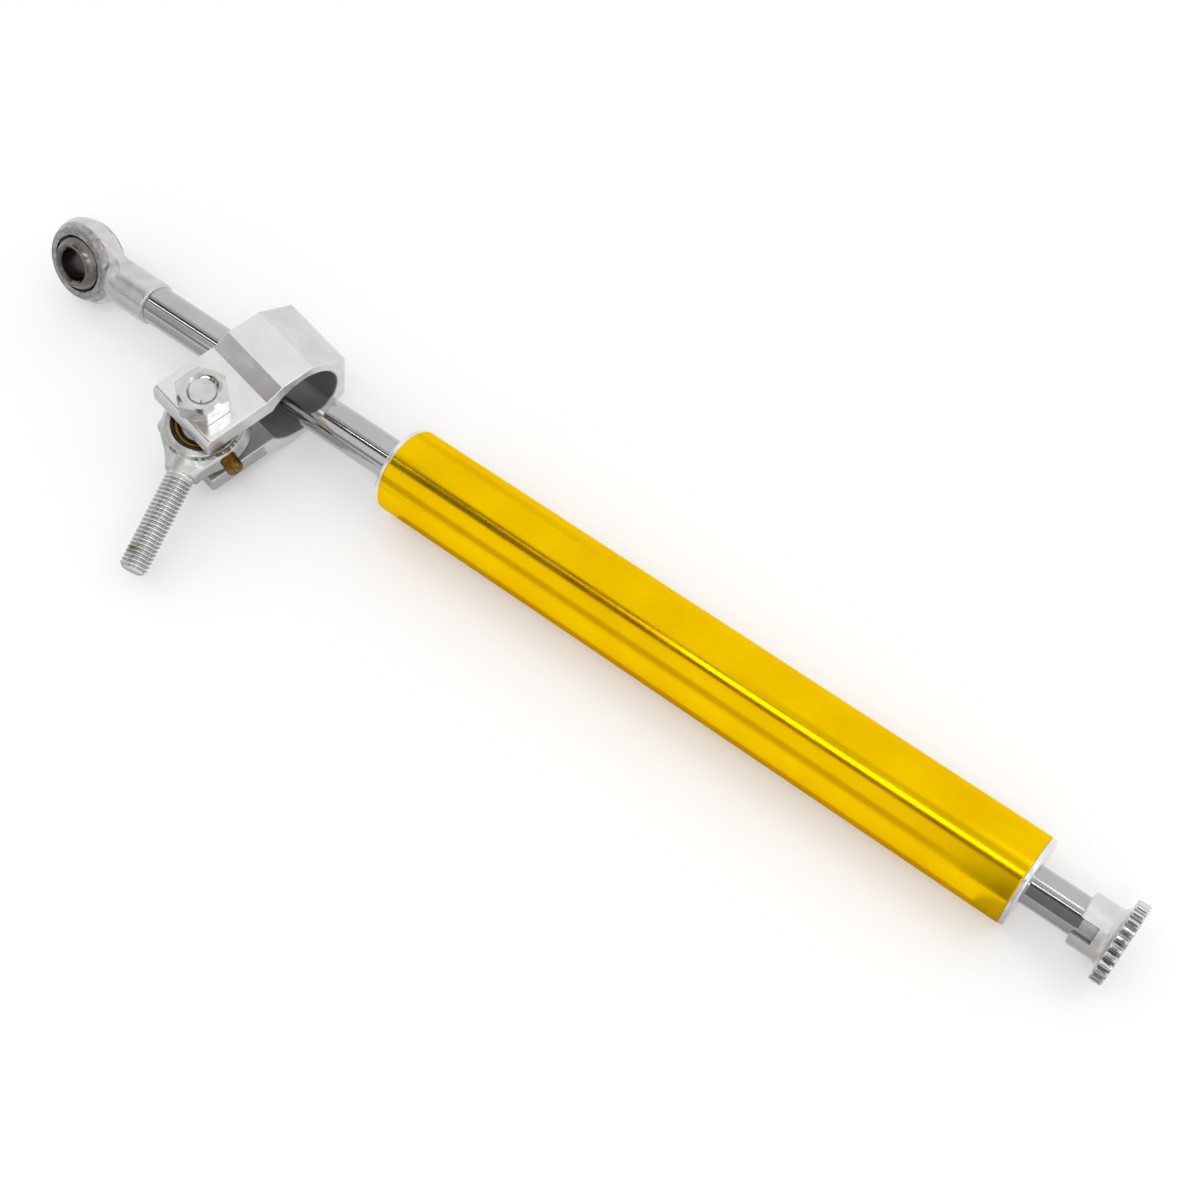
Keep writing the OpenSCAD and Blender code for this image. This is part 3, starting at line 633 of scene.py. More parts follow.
plated = new_finish("satin_plated_forging", PLATE, 220.0, (350.0, 0.25, 0.36), (fine_grain, 2600.0), 0.02)
# Darker colour on the sloped faces: forged finish and painted shade
tint_where(plated, "forged_and_shade", drift_between(plated, FORGED_AND_SHADE, 600.0))
dress(eye_housing, plated)
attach(eye_housing, "rod")
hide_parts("eye_housing")


# Eye race and ball
# The ball turns in a hardened race that is pressed into the eye. It is a ground and polished steel
# ball with flats and a bored and chamfered hole for the fork's bolt.
EYE_BALL_R, EYE_BALL_HALF, EYE_BORE_R = 9.525, 7.0, 5.0
EYE_RACE_R, EYE_RACE_HALF, RACE_GAP = 10.355, 4.85, 0.03
EYE_BALL_CHAMFER, BORED_WITHIN = 0.8, 0.1
RACE_GROOVE, RACE_MOUTH, MOUTH_EDGE = 1.0, 0.12, 0.08
STAKED_UP, STAKED_OUT = 0.06, 0.25
DARK_STEEL = ((138, 132, 126), (112, 107, 102))
# Painted shade inside the ball's bore
BORE_SHADE = (78, 75, 72)
RACE = ((180, 180, 179), (136, 136, 135))


def ball_arc(radius, half, steps=40):
    """Points (x, radius from the axis) of a ball's outline between two flats, evenly in angle."""
    angle = np.linspace(-1, 1, steps) * math.asin(half / radius)
    return np.stack([radius * np.sin(angle), radius * np.cos(angle)], 1)


def ball_section(ball_r, half, bore_r, chamfer):
    """Outline of a ball with two flats and a chamfered bore along X."""
    bore = [
        (half, bore_r + chamfer), (half - chamfer, bore_r),
        (chamfer - half, bore_r), (-half, bore_r + chamfer),
    ]
    return np.concatenate([ball_arc(ball_r, half), bore])


def race_section(ball_r, half, outer_r):
    """Outline of a race: a ball's hollow with a groove at each mouth, flat faces, and a round outside with a
    thin staked lip at each face."""
    hollow = ball_arc(ball_r, half - RACE_GROOVE)
    mouth_r = hollow[-1, 1] + RACE_MOUTH
    half_outline = np.array([
        (half - RACE_GROOVE, mouth_r), (half - MOUTH_EDGE, mouth_r), (half, mouth_r + MOUTH_EDGE),
        (half + STAKED_UP, outer_r + STAKED_OUT), (half, outer_r + 0.3), (half - 0.1, outer_r),
    ])
    return np.concatenate([hollow, half_outline, half_outline[::-1] * [-1, 1]])


# X of a turned piece goes to the bore's axis
bore_axis = in_eye @ turn_matrix(y=-math.pi / 2)
dark_steel = new_finish("dark_polished_ball", DARK_STEEL, 240.0, (300.0, 0.18, 0.28),
                        (fine_grain, 7000.0), 0.002)
# The ball's bore is painted darker: painted shade inside the hole
tint_where(dark_steel, "bored", BORE_SHADE)
race_steel = new_finish("pale_race_steel", RACE, 700.0, (400.0, 0.25, 0.4), (fine_grain, 5000.0), 0.006)

ball_outline = ball_section(EYE_BALL_R, EYE_BALL_HALF, EYE_BORE_R, EYE_BALL_CHAMFER)
ball_skin = turned(ball_outline) @ bore_axis.T
eye_ball = put_skin("eye_swivel_ball", ball_skin, sharp=25)
# Marks the bore's points, where shade is painted
set_layer(eye_ball, "bored", np.tile(ball_outline[:, 1] < EYE_BORE_R + BORED_WITHIN, len(ball_skin)))
dress(eye_ball, dark_steel)
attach(eye_ball, "eye_ball")
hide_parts("eye_ball")

race_skin = turned(race_section(EYE_BALL_R + RACE_GAP, EYE_RACE_HALF, EYE_RACE_R)) @ bore_axis.T
eye_race = put_skin("eye_race_ring", race_skin, sharp=25)
dress(eye_race, race_steel)
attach(eye_race, "rod")
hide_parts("eye_race")


# Adjuster needle
# Ground steel needle in the hollow rod, with a tapered tip that meters the bypass and a small oil
# ring near its rear end. The knob drives it in and out.
dress(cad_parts["adjuster_needle"], bearing_steel)
dress(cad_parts["needle_o_ring"], rubber)


# Adjuster knob
# Turned aluminium knob, satin on the hub and bright on the rim. The hub sweeps through a fillet into
# a thin rim with milled scallops, a slot through its wall shows the rod, and a screw ties it to the needle.
HUB_R, HUB_LENGTH, HUB_FILLET = 7.5, 7.0, 2.2
RIM_R, RIM_WIDTH, RIM_ROUND = 11.5, 3.6, 0.5
SCALLOPS, SCALLOP_R, SCALLOP_DEPTH = 26, 1.05, 0.75
SCALLOP_STEPS = 24
KNOB_BORE_R, KNOB_BORE_LENGTH, CLICK_R = 5.7, 6.6, 0.35
NEEDLE_SOCKET = (8.65, 2.03)
SCREW_HOLE_R, SCREW_HEAD_R, SCREW_HEAD_AT = 1.6, 2.85, 9.8
DISH_R, DISH_DEPTH = 8.0, 0.6
NOTCH_WIDTH, NOTCH_LENGTH, NOTCH_TURN = 5.0, 5.4, math.radians(44)
NOTCH_START, NOTCH_FLOOR, NOTCH_TOP = -1, 3, 9
HUB_EDGE, DISH_EDGE, BORE_TAPER = 0.7, 0.2, 0.3
FLUTE_SPREAD, FLUTE_MARGIN = 0.2, 0.2
POLISH_FROM, POLISH_TO = -0.6, 0.3
KNOB = ((222, 221, 221), (210, 209, 209))
# Painted shade in the flutes' hollows
FLUTE_SHADE = (112, 111, 111)

knob_length = HUB_LENGTH + HUB_FILLET + RIM_WIDTH
rim_at = HUB_LENGTH + HUB_FILLET
fillet = np.linspace(0, math.pi / 2, 12)[1:-1]
sweep = np.stack([HUB_LENGTH + HUB_FILLET * np.sin(fillet), HUB_R + HUB_FILLET * (1 - np.cos(fillet))], 1)
# Outline rows are (x, radius): hub and fillet, rim, dish, screw hole and bore
hub_rows = rounded([(0, KNOB_BORE_R, 0), (0, HUB_R, HUB_EDGE), (HUB_LENGTH, HUB_R, 0)], closed=False)
rim_turn = np.linspace(math.pi / 2, 0, 6)
rim_front = np.stack([
    rim_at + RIM_ROUND * (1 - np.sin(rim_turn)), RIM_R - RIM_ROUND * (1 - np.cos(rim_turn)),
], 1)
rim_back = np.stack([2 * rim_at + RIM_WIDTH - rim_front[:, 0], rim_front[:, 1]], 1)[::-1]
dish_at = knob_length - DISH_DEPTH
inner_rows = np.array([
    (knob_length, DISH_R + DISH_EDGE), (knob_length - DISH_EDGE, DISH_R), (dish_at, DISH_R),
    (dish_at, SCREW_HEAD_R + DISH_EDGE), (dish_at - DISH_EDGE, SCREW_HEAD_R), (SCREW_HEAD_AT, SCREW_HEAD_R),
    (SCREW_HEAD_AT, SCREW_HOLE_R), (NEEDLE_SOCKET[0], SCREW_HOLE_R), NEEDLE_SOCKET,
    (KNOB_BORE_LENGTH, NEEDLE_SOCKET[1]), (KNOB_BORE_LENGTH, KNOB_BORE_R - BORE_TAPER),
    (KNOB_BORE_LENGTH - BORE_TAPER, KNOB_BORE_R), (0.4, KNOB_BORE_R),
])
rows = np.concatenate([hub_rows, sweep, rim_front, rim_back, inner_rows])
around = SCALLOPS * SCALLOP_STEPS
angle = np.linspace(0, 2 * np.pi, around, endpoint=False)[:, None]
from_scallop = (angle * SCALLOPS / (2 * np.pi) + 0.5) % 1 - 0.5
scallop_at = RIM_R + SCALLOP_R - SCALLOP_DEPTH
aside = from_scallop * 2 * np.pi / SCALLOPS
sideways = scallop_at * np.sin(aside)
cut = scallop_at * np.cos(aside) - np.sqrt(np.maximum(SCALLOP_R ** 2 - sideways ** 2, 0))
in_cut = np.abs(sideways) < SCALLOP_R
x, radius = rows.T
near_rim = (radius > HUB_R + HUB_FILLET + 0.05) & (x > rim_at - 0.01)
fluted = np.where(in_cut, np.minimum(cut, RIM_R), RIM_R)
# The rim follows the scalloped outline, less the rounding that the outline row has lost from the full radius
radius = np.where(near_rim, np.minimum(radius, fluted - (RIM_R - radius)), radius + 0 * angle)
in_bore = (np.abs(rows[:, 1] - KNOB_BORE_R) < 0.01) & (x > 0.3) & (x < KNOB_BORE_LENGTH)
click = np.sqrt(np.maximum(CLICK_R ** 2 - (KNOB_BORE_R * aside) ** 2, 0))
radius = radius + np.where(in_bore, click, 0)
knob_skin = np.stack([knob_low[0] + x + 0 * angle, -radius * np.sin(angle), radius * np.cos(angle)], -1)
knob = put_skin("fluted_knob", knob_skin, sharp=40)


def block(low, high):
    """Points and faces of a plain block between two corners."""
    corner = np.array(np.meshgrid(*zip(low, high), indexing="ij")).reshape(3, -1).T
    sides = [[0, 1, 3, 2], [4, 6, 7, 5], [0, 4, 5, 1], [2, 3, 7, 6], [0, 2, 6, 4], [1, 5, 7, 3]]
    return corner, [np.array(sides)]


def cut_away(piece, points, faces, sharp=35):
    """Cuts a solid out of a piece for good, and shades its edges again."""
    tool = put_mesh("cutter", points, faces)
    cutting = piece.modifiers.new("cut", "BOOLEAN")
    cutting.object = tool
    cutting.solver = "EXACT"
    even = piece.modifiers["even_normals"]
    even.show_viewport = False
    bpy.context.view_layer.update()
    shaped = piece.evaluated_get(bpy.context.evaluated_depsgraph_get())
    old, piece.data = piece.data, bpy.data.meshes.new_from_object(shaped)
    piece.modifiers.remove(cutting)
    even.show_viewport = True
    bpy.data.meshes.remove(old)
    bpy.data.objects.remove(tool)
    piece.data.shade_smooth()
    piece.data.set_sharp_from_angle(angle=math.radians(sharp))


notch_points, notch_faces = block(
    (NOTCH_START, -NOTCH_WIDTH / 2, NOTCH_FLOOR), (NOTCH_LENGTH, NOTCH_WIDTH / 2, NOTCH_TOP)
)
notch_points = notch_points @ turn_matrix(x=NOTCH_TURN).T + [knob_low[0], 0, 0]
cut_away(knob, notch_points, notch_faces, 40)


def face_middles(piece):
    """Middles of a piece's faces, in millimetres."""
    middles = np.zeros(3 * len(piece.data.polygons), np.float32)
    piece.data.polygons.foreach_get("center", middles)
    return middles.reshape(-1, 3) / MM


def bell(values, middle, reach, power=2):
    """Bell curve that is 1 in the middle and 1/e at the reach on both sides. A higher power has steeper
    sides."""
    return np.exp(-((values - middle) / reach) ** power)


# The flutes are painted grey as shade in their hollows: most in the middle of each, fading as a bell curve to
# its sides
middles = face_middles(knob)
from_middle = np.abs(middles[:, 0] - knob_low[0] - rim_at - RIM_WIDTH / 2)
on_side = from_middle < RIM_WIDTH / 2 - FLUTE_MARGIN
on_side &= np.hypot(middles[:, 1], middles[:, 2]) > RIM_R - SCALLOP_DEPTH - FLUTE_MARGIN
from_scallop = (np.arctan2(-middles[:, 1], middles[:, 2]) * SCALLOPS / (2 * np.pi) + 0.5) % 1 - 0.5
set_layer(knob, "flute_shade", on_side * bell(from_scallop, 0, FLUTE_SPREAD), "FACE")
knob_metal = new_finish("satin_knob_aluminium", KNOB, 180.0, (220.0, 0.34, 0.42),
                        (lathe_lines, 5000.0), 0.004)
# The flutes' grey is painted shade
tint_where(knob_metal, "flute_shade", FLUTE_SHADE)
# Roughness goes from the satin hub to the polished rim at the fillet's end
rim_x = knob_low[0] + rim_at
grade_along(knob_metal, rim_x + POLISH_FROM, rim_x + POLISH_TO, (220.0, 0.07, 0.14))
dress(knob, knob_metal)
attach(knob, "knob")
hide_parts("adjuster_knob")
dress(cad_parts["knob_screw"], clip_steel)


# Clamp bracket
# Two-eared clamp cut from an aluminium extrusion, with its edges broken and a satin finish. Its bore
# takes the tube, and both ears are drilled for the bolt.
CLAMP_BORE_R, CLAMP_TOP, CLAMP_HALF = 12.8, 15.9, 12.0
EAR_IN, EAR_OUT, EAR_REACH = 7.4, 13.4, 33.4
EAR_BEND, TOP_BEND, TOP_FLAT, SIDE_FLAT = 12.4, 6.8, 4.2, 9.1
CLAMP_EDGE, CLAMP_CORNER, EAR_CORNER = 0.35, 0.6, 1.7
BOLT_AT = np.array([0.6, -25.6, 0.0])
BOLT_HOLE_R, HOLE_HALF = 4.25, 20
CLAMP_AT = np.array([78.6, -0.4, 4.2])
in_clamp = turn_matrix(*np.radians([-2.3, 8.5, -8.7]))
SLOT_DULL_AND_SHADE, DULL_ROUGHNESS = 0.7, 0.3
NEAR_BORE, NEAR_SLOT, NEAR_LIP = 0.3, 0.15, 0.5
LINE_STRETCH, LINE_TURN = (0.02, 1.0, 1.0), (0.04, -0.148, 0.152)
CLAMP = ((226, 226, 226), (216, 216, 216))
# Painted shade inside the bore and between the ears
CLAMP_INSIDE_SHADE = (194, 194, 196)

half_outline = [
    (-EAR_REACH, EAR_IN, CLAMP_CORNER), (-EAR_REACH, EAR_OUT, EAR_CORNER), (-EAR_BEND, EAR_OUT, CLAMP_CORNER),
    (-TOP_BEND, CLAMP_TOP, CLAMP_CORNER), (TOP_FLAT, CLAMP_TOP, CLAMP_CORNER),
    (CLAMP_TOP, SIDE_FLAT, CLAMP_CORNER),
]
lower_outline = [(y, -z, r) for y, z, r in half_outline]
lip = (-math.sqrt(CLAMP_BORE_R ** 2 - EAR_IN ** 2), EAR_IN)
whole_outline = [(lip[0], -lip[1], 0), *lower_outline, *half_outline[::-1], (*lip, 0)]
outside = rounded(whole_outline, closed=False)
bore_turn = np.linspace(1, -1, 73)[1:-1] * math.atan2(lip[1], lip[0])
bore_arc = CLAMP_BORE_R * np.stack([np.cos(bore_turn), np.sin(bore_turn)], 1)
clamp_outline = np.concatenate([outside, bore_arc])
tangent = np.roll(clamp_outline, -1, 0) - np.roll(clamp_outline, 1, 0)
outwards = np.stack([tangent[:, 1], -tangent[:, 0]], 1) / np.linalg.norm(tangent, axis=1, keepdims=True)
edge_turn = np.linspace(0, math.pi / 2, 5)
edge_x = CLAMP_HALF - CLAMP_EDGE * (1 - np.cos(edge_turn))
edge_in = CLAMP_EDGE * (1 - np.sin(edge_turn))
row_x = np.concatenate([-edge_x, edge_x[::-1]])[:, None]
row_in = np.concatenate([edge_in, edge_in[::-1]])[:, None, None]
# Each row is the outline at one place across the clamp, drawn in towards the two ends to break the edge
rows = clamp_outline - row_in * outwards
clamp_skin = np.stack([row_x + 0 * rows[..., 0], rows[..., 0], rows[..., 1]], -1)
count = len(clamp_outline)
ends = [np.arange(count)[None, ::-1], np.arange(count)[None] + (len(row_x) - 1) * count]
clamp_faces = [grid_faces(len(row_x), count, wrap_rows=False), *ends]
clamp = put_mesh("two_eared_clamp", clamp_skin @ in_clamp.T + CLAMP_AT, clamp_faces, sharp=25)


def round_bar(radius, low, high, around=96):
    """Points and faces of a plain round bar along Z."""
    outline = np.array([(low, 0), (low, radius), (high, radius), (high, 0)], float)
    points, faces = turned_solid(outline, around)
    return points @ turn_matrix(y=-math.pi / 2).T, faces


hole_points, hole_faces = round_bar(BOLT_HOLE_R, -HOLE_HALF, HOLE_HALF)
cut_away(clamp, (hole_points + BOLT_AT) @ in_clamp.T + CLAMP_AT, hole_faces, 25)

# Faint lines along one direction, as an extrusion die or a belt leaves them
drawn_lines, given, made = new_group(
    "drawn_lines", {"Scale": "Float", "Turn": "Vector"}, {"Height": "Float"}
)
place = add_node(drawn_lines, "TexCoord")
lay = add_node(drawn_lines, "Mapping", Scale=LINE_STRETCH)
ridges = add_node(drawn_lines, "TexNoise", Detail=3)
join(
    drawn_lines,
    (place.outputs["Object"], lay.inputs["Vector"]),
    (given.outputs["Turn"], lay.inputs["Rotation"]),
    (lay.outputs["Vector"], ridges.inputs["Vector"]),
    (given.outputs["Scale"], ridges.inputs["Scale"]),
    (ridges.outputs["Fac"], made.inputs["Height"]),
)

# How dull a face is, which also paints it darker: the bore as the boring bar left it, the ears' inner faces
# partly, the outside not at all. A dull face is rougher, and its darker colour is painted shade inside the
# bore and between the ears
middles = (face_middles(clamp) - CLAMP_AT) @ in_clamp
in_bore = np.abs(np.hypot(middles[:, 1], middles[:, 2]) - CLAMP_BORE_R) < NEAR_BORE
in_slot = (np.abs(middles[:, 2]) < EAR_IN + NEAR_SLOT) & (middles[:, 1] < lip[0] + NEAR_LIP)
set_layer(clamp, "dull_and_shaded", np.where(in_bore, 1.0, np.where(in_slot, SLOT_DULL_AND_SHADE, 0.0)), "FACE")
clamp_metal = new_finish("satin_clamp_aluminium", CLAMP, 120.0, (160.0, 0.2, 0.3),
                         (drawn_lines, 2500.0, LINE_TURN), 0.004)
# The inside faces' darker colour is painted shade
tint_where(clamp_metal, "dull_and_shaded", CLAMP_INSIDE_SHADE)
dull_and_shaded = stored(clamp_metal, "dull_and_shaded")
smudge = fed(clamp_metal, "Roughness")
feed(clamp_metal, reckon(clamp_metal.node_tree, "MULTIPLY_ADD", dull_and_shaded, DULL_ROUGHNESS, smudge), "Roughness")
dress(clamp, clamp_metal)
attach(clamp, "clamp")
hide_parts("clamp_bracket")


# Clamp bolt and nut
# Hexagon bolt from below and a thick nut on top, cold-formed steel with bright zinc plating. The
# bolt's chamfered end stands flush with the nut.
BOLT_R, NUT_FLATS, NUT_HEIGHT = 4.0, 14.0, 6.5
NUT_SINK, NUT_TURN = 0.8, math.radians(30)
HEAD_FLATS, HEAD_HEIGHT = 13.0, 5.2
CONE_DROP, CONE_SPREAD = 1.0, 1.72
HEX_POWER, HEX_EDGE_IN, HEX_EDGE_UP = 60, 0.5, 0.3
THREAD_PLAY, NUT_LEAD, NUT_FLARE = 0.05, 0.4, 0.35
BOLT_CHAMFER = 0.5
ZINC = ((212, 212, 210), (195, 196, 192))


def hexagon(angle, flats):
    """Radius of a hexagon with slightly rounded corners: the shares of its six sides, each to a high power,
    are summed, and the root of the sum is inverted."""
    sides = np.radians(np.arange(30, 360, 60))
    share = np.maximum(np.cos(angle[..., None] - sides), 0) / (flats / 2)
    return (share ** HEX_POWER).sum(-1) ** (-1 / HEX_POWER)


def hex_rows(flats, height, angle):
    """Rows (radius, height) of a hexagon block at each angle, from its bottom edge up its side, over the cone
    that takes the corners off, to the flat circle on top."""
    side = hexagon(angle, flats)
    corner = flats / 2 / math.cos(math.pi / 6)
    flat_r = corner - CONE_SPREAD
    share = np.linspace(1, 0, 7)[:, None]
    cone_r = flat_r + share * (side - flat_r)
    cone_z = height - np.maximum(cone_r - flat_r, 0) * CONE_DROP / CONE_SPREAD
    low_r = np.stack([side - HEX_EDGE_IN, side])
    low_z = np.stack([0 * side, HEX_EDGE_UP + 0 * side])
    return np.concatenate([low_r, cone_r]), np.concatenate([low_z, cone_z])


def ring_rows(radius, z, angle):
    """Points of rows of radius and height at each angle round Z."""
    return np.stack([radius * np.cos(angle), radius * np.sin(angle), z], -1)


hex_turn = np.linspace(0, 2 * np.pi, 360, endpoint=False)
radius, z = hex_rows(NUT_FLATS, NUT_HEIGHT, hex_turn - NUT_TURN)
thread_r = BOLT_R + THREAD_PLAY
bore = np.array([
    (thread_r + 2 * NUT_SINK, NUT_HEIGHT), (thread_r, NUT_HEIGHT - NUT_SINK),
    (thread_r, NUT_LEAD), (thread_r + NUT_FLARE, 0.0),
])
radius = np.concatenate([radius, bore[:, :1] + 0 * hex_turn])
z = np.concatenate([z, bore[:, 1:] + 0 * hex_turn]) + EAR_OUT
nut_skin = (ring_rows(radius, z, hex_turn) + BOLT_AT) @ in_clamp.T + CLAMP_AT
nut = put_skin("bright_nut", nut_skin, sharp=28)

bright_zinc = new_finish("bright_zinc", ZINC, 260.0, (300.0, 0.06, 0.16), (fine_grain, 1800.0), 0.012)
dress(nut, bright_zinc)
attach(nut, "clamp")
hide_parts("clamp_nut")

radius, z = hex_rows(HEAD_FLATS, HEAD_HEIGHT, hex_turn)
bolt_end = -2 * EAR_OUT - NUT_HEIGHT
shank = np.array([(BOLT_R, 0.0), (BOLT_R, bolt_end + BOLT_CHAMFER), (BOLT_R - BOLT_CHAMFER, bolt_end)])
radius = np.concatenate([radius[::-1], shank[:, :1] + 0 * hex_turn])
z = np.concatenate([z[::-1], shank[:, 1:] + 0 * hex_turn])
rings = ring_rows(radius, -z - EAR_OUT, hex_turn)
bolt_poles = [[0, 0, -EAR_OUT - HEAD_HEIGHT], [0, 0, EAR_OUT + NUT_HEIGHT]]
bolt_points, bolt_faces = closed_rings(rings, bolt_poles)
bolt = put_mesh("hexagon_bolt", (bolt_points + BOLT_AT) @ in_clamp.T + CLAMP_AT, bolt_faces, sharp=28)
dress(bolt, bright_zinc)
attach(bolt, "clamp")
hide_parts("clamp_bolt")
dress(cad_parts["ball_spacers"], bright_zinc)


# Rod end's ball and race
# A steel ball on the clamp's bolt, in a brass race that is pressed and staked into the rod end. The
# race has a dark stepped face with a bright lip next to the ball.
STUD_BALL_R, STUD_BALL_HALF, STUD_BORE_R, STUD_CHAMFER = 7.95, 6.0, 4.05, 0.4
BRASS_R, BRASS_HALF, MOUTH_DEPTH = 8.98, 4.2, 0.35
LIP_MIDDLE, LIP_REACH = 0.63, 0.2
GREY_BALL = ((158, 154, 158), (138, 134, 138))
BRASS_BRIGHT = (244, 192, 34)
BRASS = ((78, 61, 40), (66, 51, 33))
bolt_axis = in_clamp @ turn_matrix(y=-math.pi / 2)
bolt_centre = in_clamp @ BOLT_AT + CLAMP_AT
in_rod_end = in_clamp @ turn_matrix(*np.radians([6, 11.5, -65.5]))
rod_end_axis = in_rod_end @ turn_matrix(y=-math.pi / 2)

grey_ball = new_finish("grey_polished_ball", GREY_BALL, 240.0, (300.0, 0.12, 0.22),
                       (fine_grain, 7000.0), 0.002)
ball_outline = ball_section(STUD_BALL_R, STUD_BALL_HALF, STUD_BORE_R, STUD_CHAMFER)
stud_ball = put_skin("stud_swivel_ball", turned(ball_outline) @ bolt_axis.T + bolt_centre, sharp=25)
dress(stud_ball, grey_ball)
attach(stud_ball, "clamp")
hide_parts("stud_ball")

mouth = BRASS_HALF - MOUTH_DEPTH
hollow = ball_arc(STUD_BALL_R + RACE_GAP, mouth)
inner_r = hollow[-1, 1]
lip_half = BRASS_HALF - 0.1
steps = np.array([
    (mouth, inner_r + 0.3), (lip_half, inner_r + 0.42), (lip_half, inner_r + 0.85),
    (BRASS_HALF - 0.45, inner_r + 0.97), (BRASS_HALF - 0.45, inner_r + 1.3), (BRASS_HALF, inner_r + 1.42),
    (BRASS_HALF, BRASS_R - 0.1), (BRASS_HALF - 0.1, BRASS_R),
])
brass_section = np.concatenate([hollow, steps, steps[::-1] * [-1, 1]])
brass_skin = turned(brass_section) @ rod_end_axis.T + bolt_centre
brass = put_skin("brass_race_ring", brass_skin, sharp=25)
# How bright the brass is: rubbed clean on the lip by the ball, dark on the rest of the face
rubbed = bell(brass_section[:, 1], inner_r + LIP_MIDDLE, LIP_REACH, 4)
set_layer(brass, "rubbed", np.tile(rubbed, len(brass_skin)))
race_brass = new_finish("staked_race_brass", BRASS, 700.0, (600.0, 0.2, 0.34), (fine_grain, 4000.0), 0.006)
tint_where(race_brass, "rubbed", BRASS_BRIGHT)
dress(brass, race_brass)
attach(brass, "rod_end")
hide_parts("stud_eye_race")


# Rod end's head
# Forged steel head with a flared neck, zinc plated to a pale satin. Its upper edge is where the forging's
# flash was trimmed, and the metal there is torn; a round nub stands opposite the nipple.
HEAD_R, HEAD_HALF, HEAD_CHAMFER = 12.2, 4.5, 1.2
BRASS_SEAT_R = 9.03
NECK_X, NECK_R, NECK_HALF, NECK_SWELL = 15.5, 4.3, 3.3, 0.3
NUB_TURN, NUB_R, NUB_END = math.radians(-69), 2.0, 13.8
NIPPLE_TURN, NIPPLE_R, NIPPLE_FLAT = math.radians(58), 2.5, 11.85
STEM_R, STEM_END, SEAT_PLAY = 1.7, 10.25, 0.05
HEAD_WEDGE_MID, HEAD_WEDGE_HALF = 11, 4.5
NECK_MID, NECK_REACH, NUB_MID = 13, 4, 11.5
HEAD_STEP, HEAD_LOW, HEAD_HIGH = 0.26, (-14, -15, -5), (16.9, 13, 5)
TORN_IN, TORN_WIDTH = 0.6, 0.4
TORN_DOWN, TORN_HEIGHT = 0.5, 0.6
TORN_START, TORN_START_FADE = -0.5, 0.05
TORN_END, TORN_END_FADE = 1.6, 0.1
TORN_DEEPER = 30.0
FLECK_FROM, FLECK_TO, FLECK_LEAST = 0.42, 0.52, 0.25
HEAD_BLEND, HEAD_WEB_BLEND, NECK_END_BLEND = 0.5, 1.4, 0.3
HEAD_WEDGE_FILLET, NECK_FILLET = 1.6, 2.2
NUB_BLEND, NUB_FILLET, BRASS_SEAT_BLEND = 1.6, 0.9, 0.25
SATIN = ((214, 216, 213), (198, 201, 197))
TORN_DARK = (80, 82, 81)


def head_distance(p):
    """Distance to the head, with X along the stud and Z through the ball's bore: a chamfered ring, a wedge
    tangent to it, a round neck and a nub are joined with fillets, then the race's seat and the nipple's seat
    are cut."""
    x, y, z = p[..., 0], p[..., 1], np.abs(p[..., 2])
    from_bore, from_neck = np.hypot(x, y), np.hypot(y, z)
    ring = blend_high(z - HEAD_HALF, from_bore - HEAD_R, HEAD_BLEND)
    ring = blend_high(ring, (from_bore + z - HEAD_R - HEAD_HALF + HEAD_CHAMFER) / math.sqrt(2), HEAD_BLEND)
    neck_y = BOLT_R + NECK_SWELL
    touch = math.atan2(neck_y, NECK_X) + math.acos(HEAD_R / math.hypot(NECK_X, neck_y))
    side = x * math.cos(touch) + np.abs(y) * math.sin(touch) - HEAD_R
    wedge = blend_high(side, z - NECK_HALF, HEAD_WEB_BLEND)
    wedge = np.maximum(wedge, np.abs(x - HEAD_WEDGE_MID) - HEAD_WEDGE_HALF)
    neck = np.maximum(from_neck - NECK_R, np.abs(x - NECK_MID) - NECK_REACH)
    body = blend_low(blend_low(ring, wedge, HEAD_WEDGE_FILLET), neck, NECK_FILLET)
    body = blend_high(body, x - NECK_X - 2 * NECK_SWELL, NECK_END_BLEND)
    out = x * math.cos(NUB_TURN) + y * math.sin(NUB_TURN)
    beside = np.hypot(y * math.cos(NUB_TURN) - x * math.sin(NUB_TURN), z)
    nub = blend_high(beside - NUB_R, np.abs(out - NUB_MID) - (NUB_END - NUB_MID), NUB_BLEND)
    body = blend_low(body, nub, NUB_FILLET)
    body = blend_high(body, BRASS_SEAT_R - from_bore, BRASS_SEAT_BLEND)
    out = x * math.cos(NIPPLE_TURN) + y * math.sin(NIPPLE_TURN)
    beside = np.hypot(y * math.cos(NIPPLE_TURN) - x * math.sin(NIPPLE_TURN), z)
    seat = np.maximum(beside - NIPPLE_R - SEAT_PLAY, NIPPLE_FLAT - out)
    stem = np.maximum(beside - STEM_R - SEAT_PLAY, STEM_END - SEAT_PLAY - out)
    return np.maximum(np.maximum(body, -seat), -stem)


head_points, head_faces = skin_of(head_distance, HEAD_LOW, HEAD_HIGH, HEAD_STEP)
# Torn band: on the upper chamfer from beside the neck round to past the nipple
head_angle = np.arctan2(head_points[:, 1], head_points[:, 0])
head_out = np.hypot(head_points[:, 0], head_points[:, 1])
torn = bell(head_out, HEAD_R - TORN_IN, TORN_WIDTH, 4)
torn *= bell(head_points[:, 2], HEAD_HALF - TORN_DOWN, TORN_HEIGHT, 4)
torn /= 1 + np.exp((TORN_START - head_angle) / TORN_START_FADE)
torn /= 1 + np.exp((head_angle - TORN_END) / TORN_END_FADE)
head = put_mesh("forged_rod_end", head_points @ in_rod_end.T + bolt_centre, head_faces, sharp=60)
set_layer(head, "torn", torn)

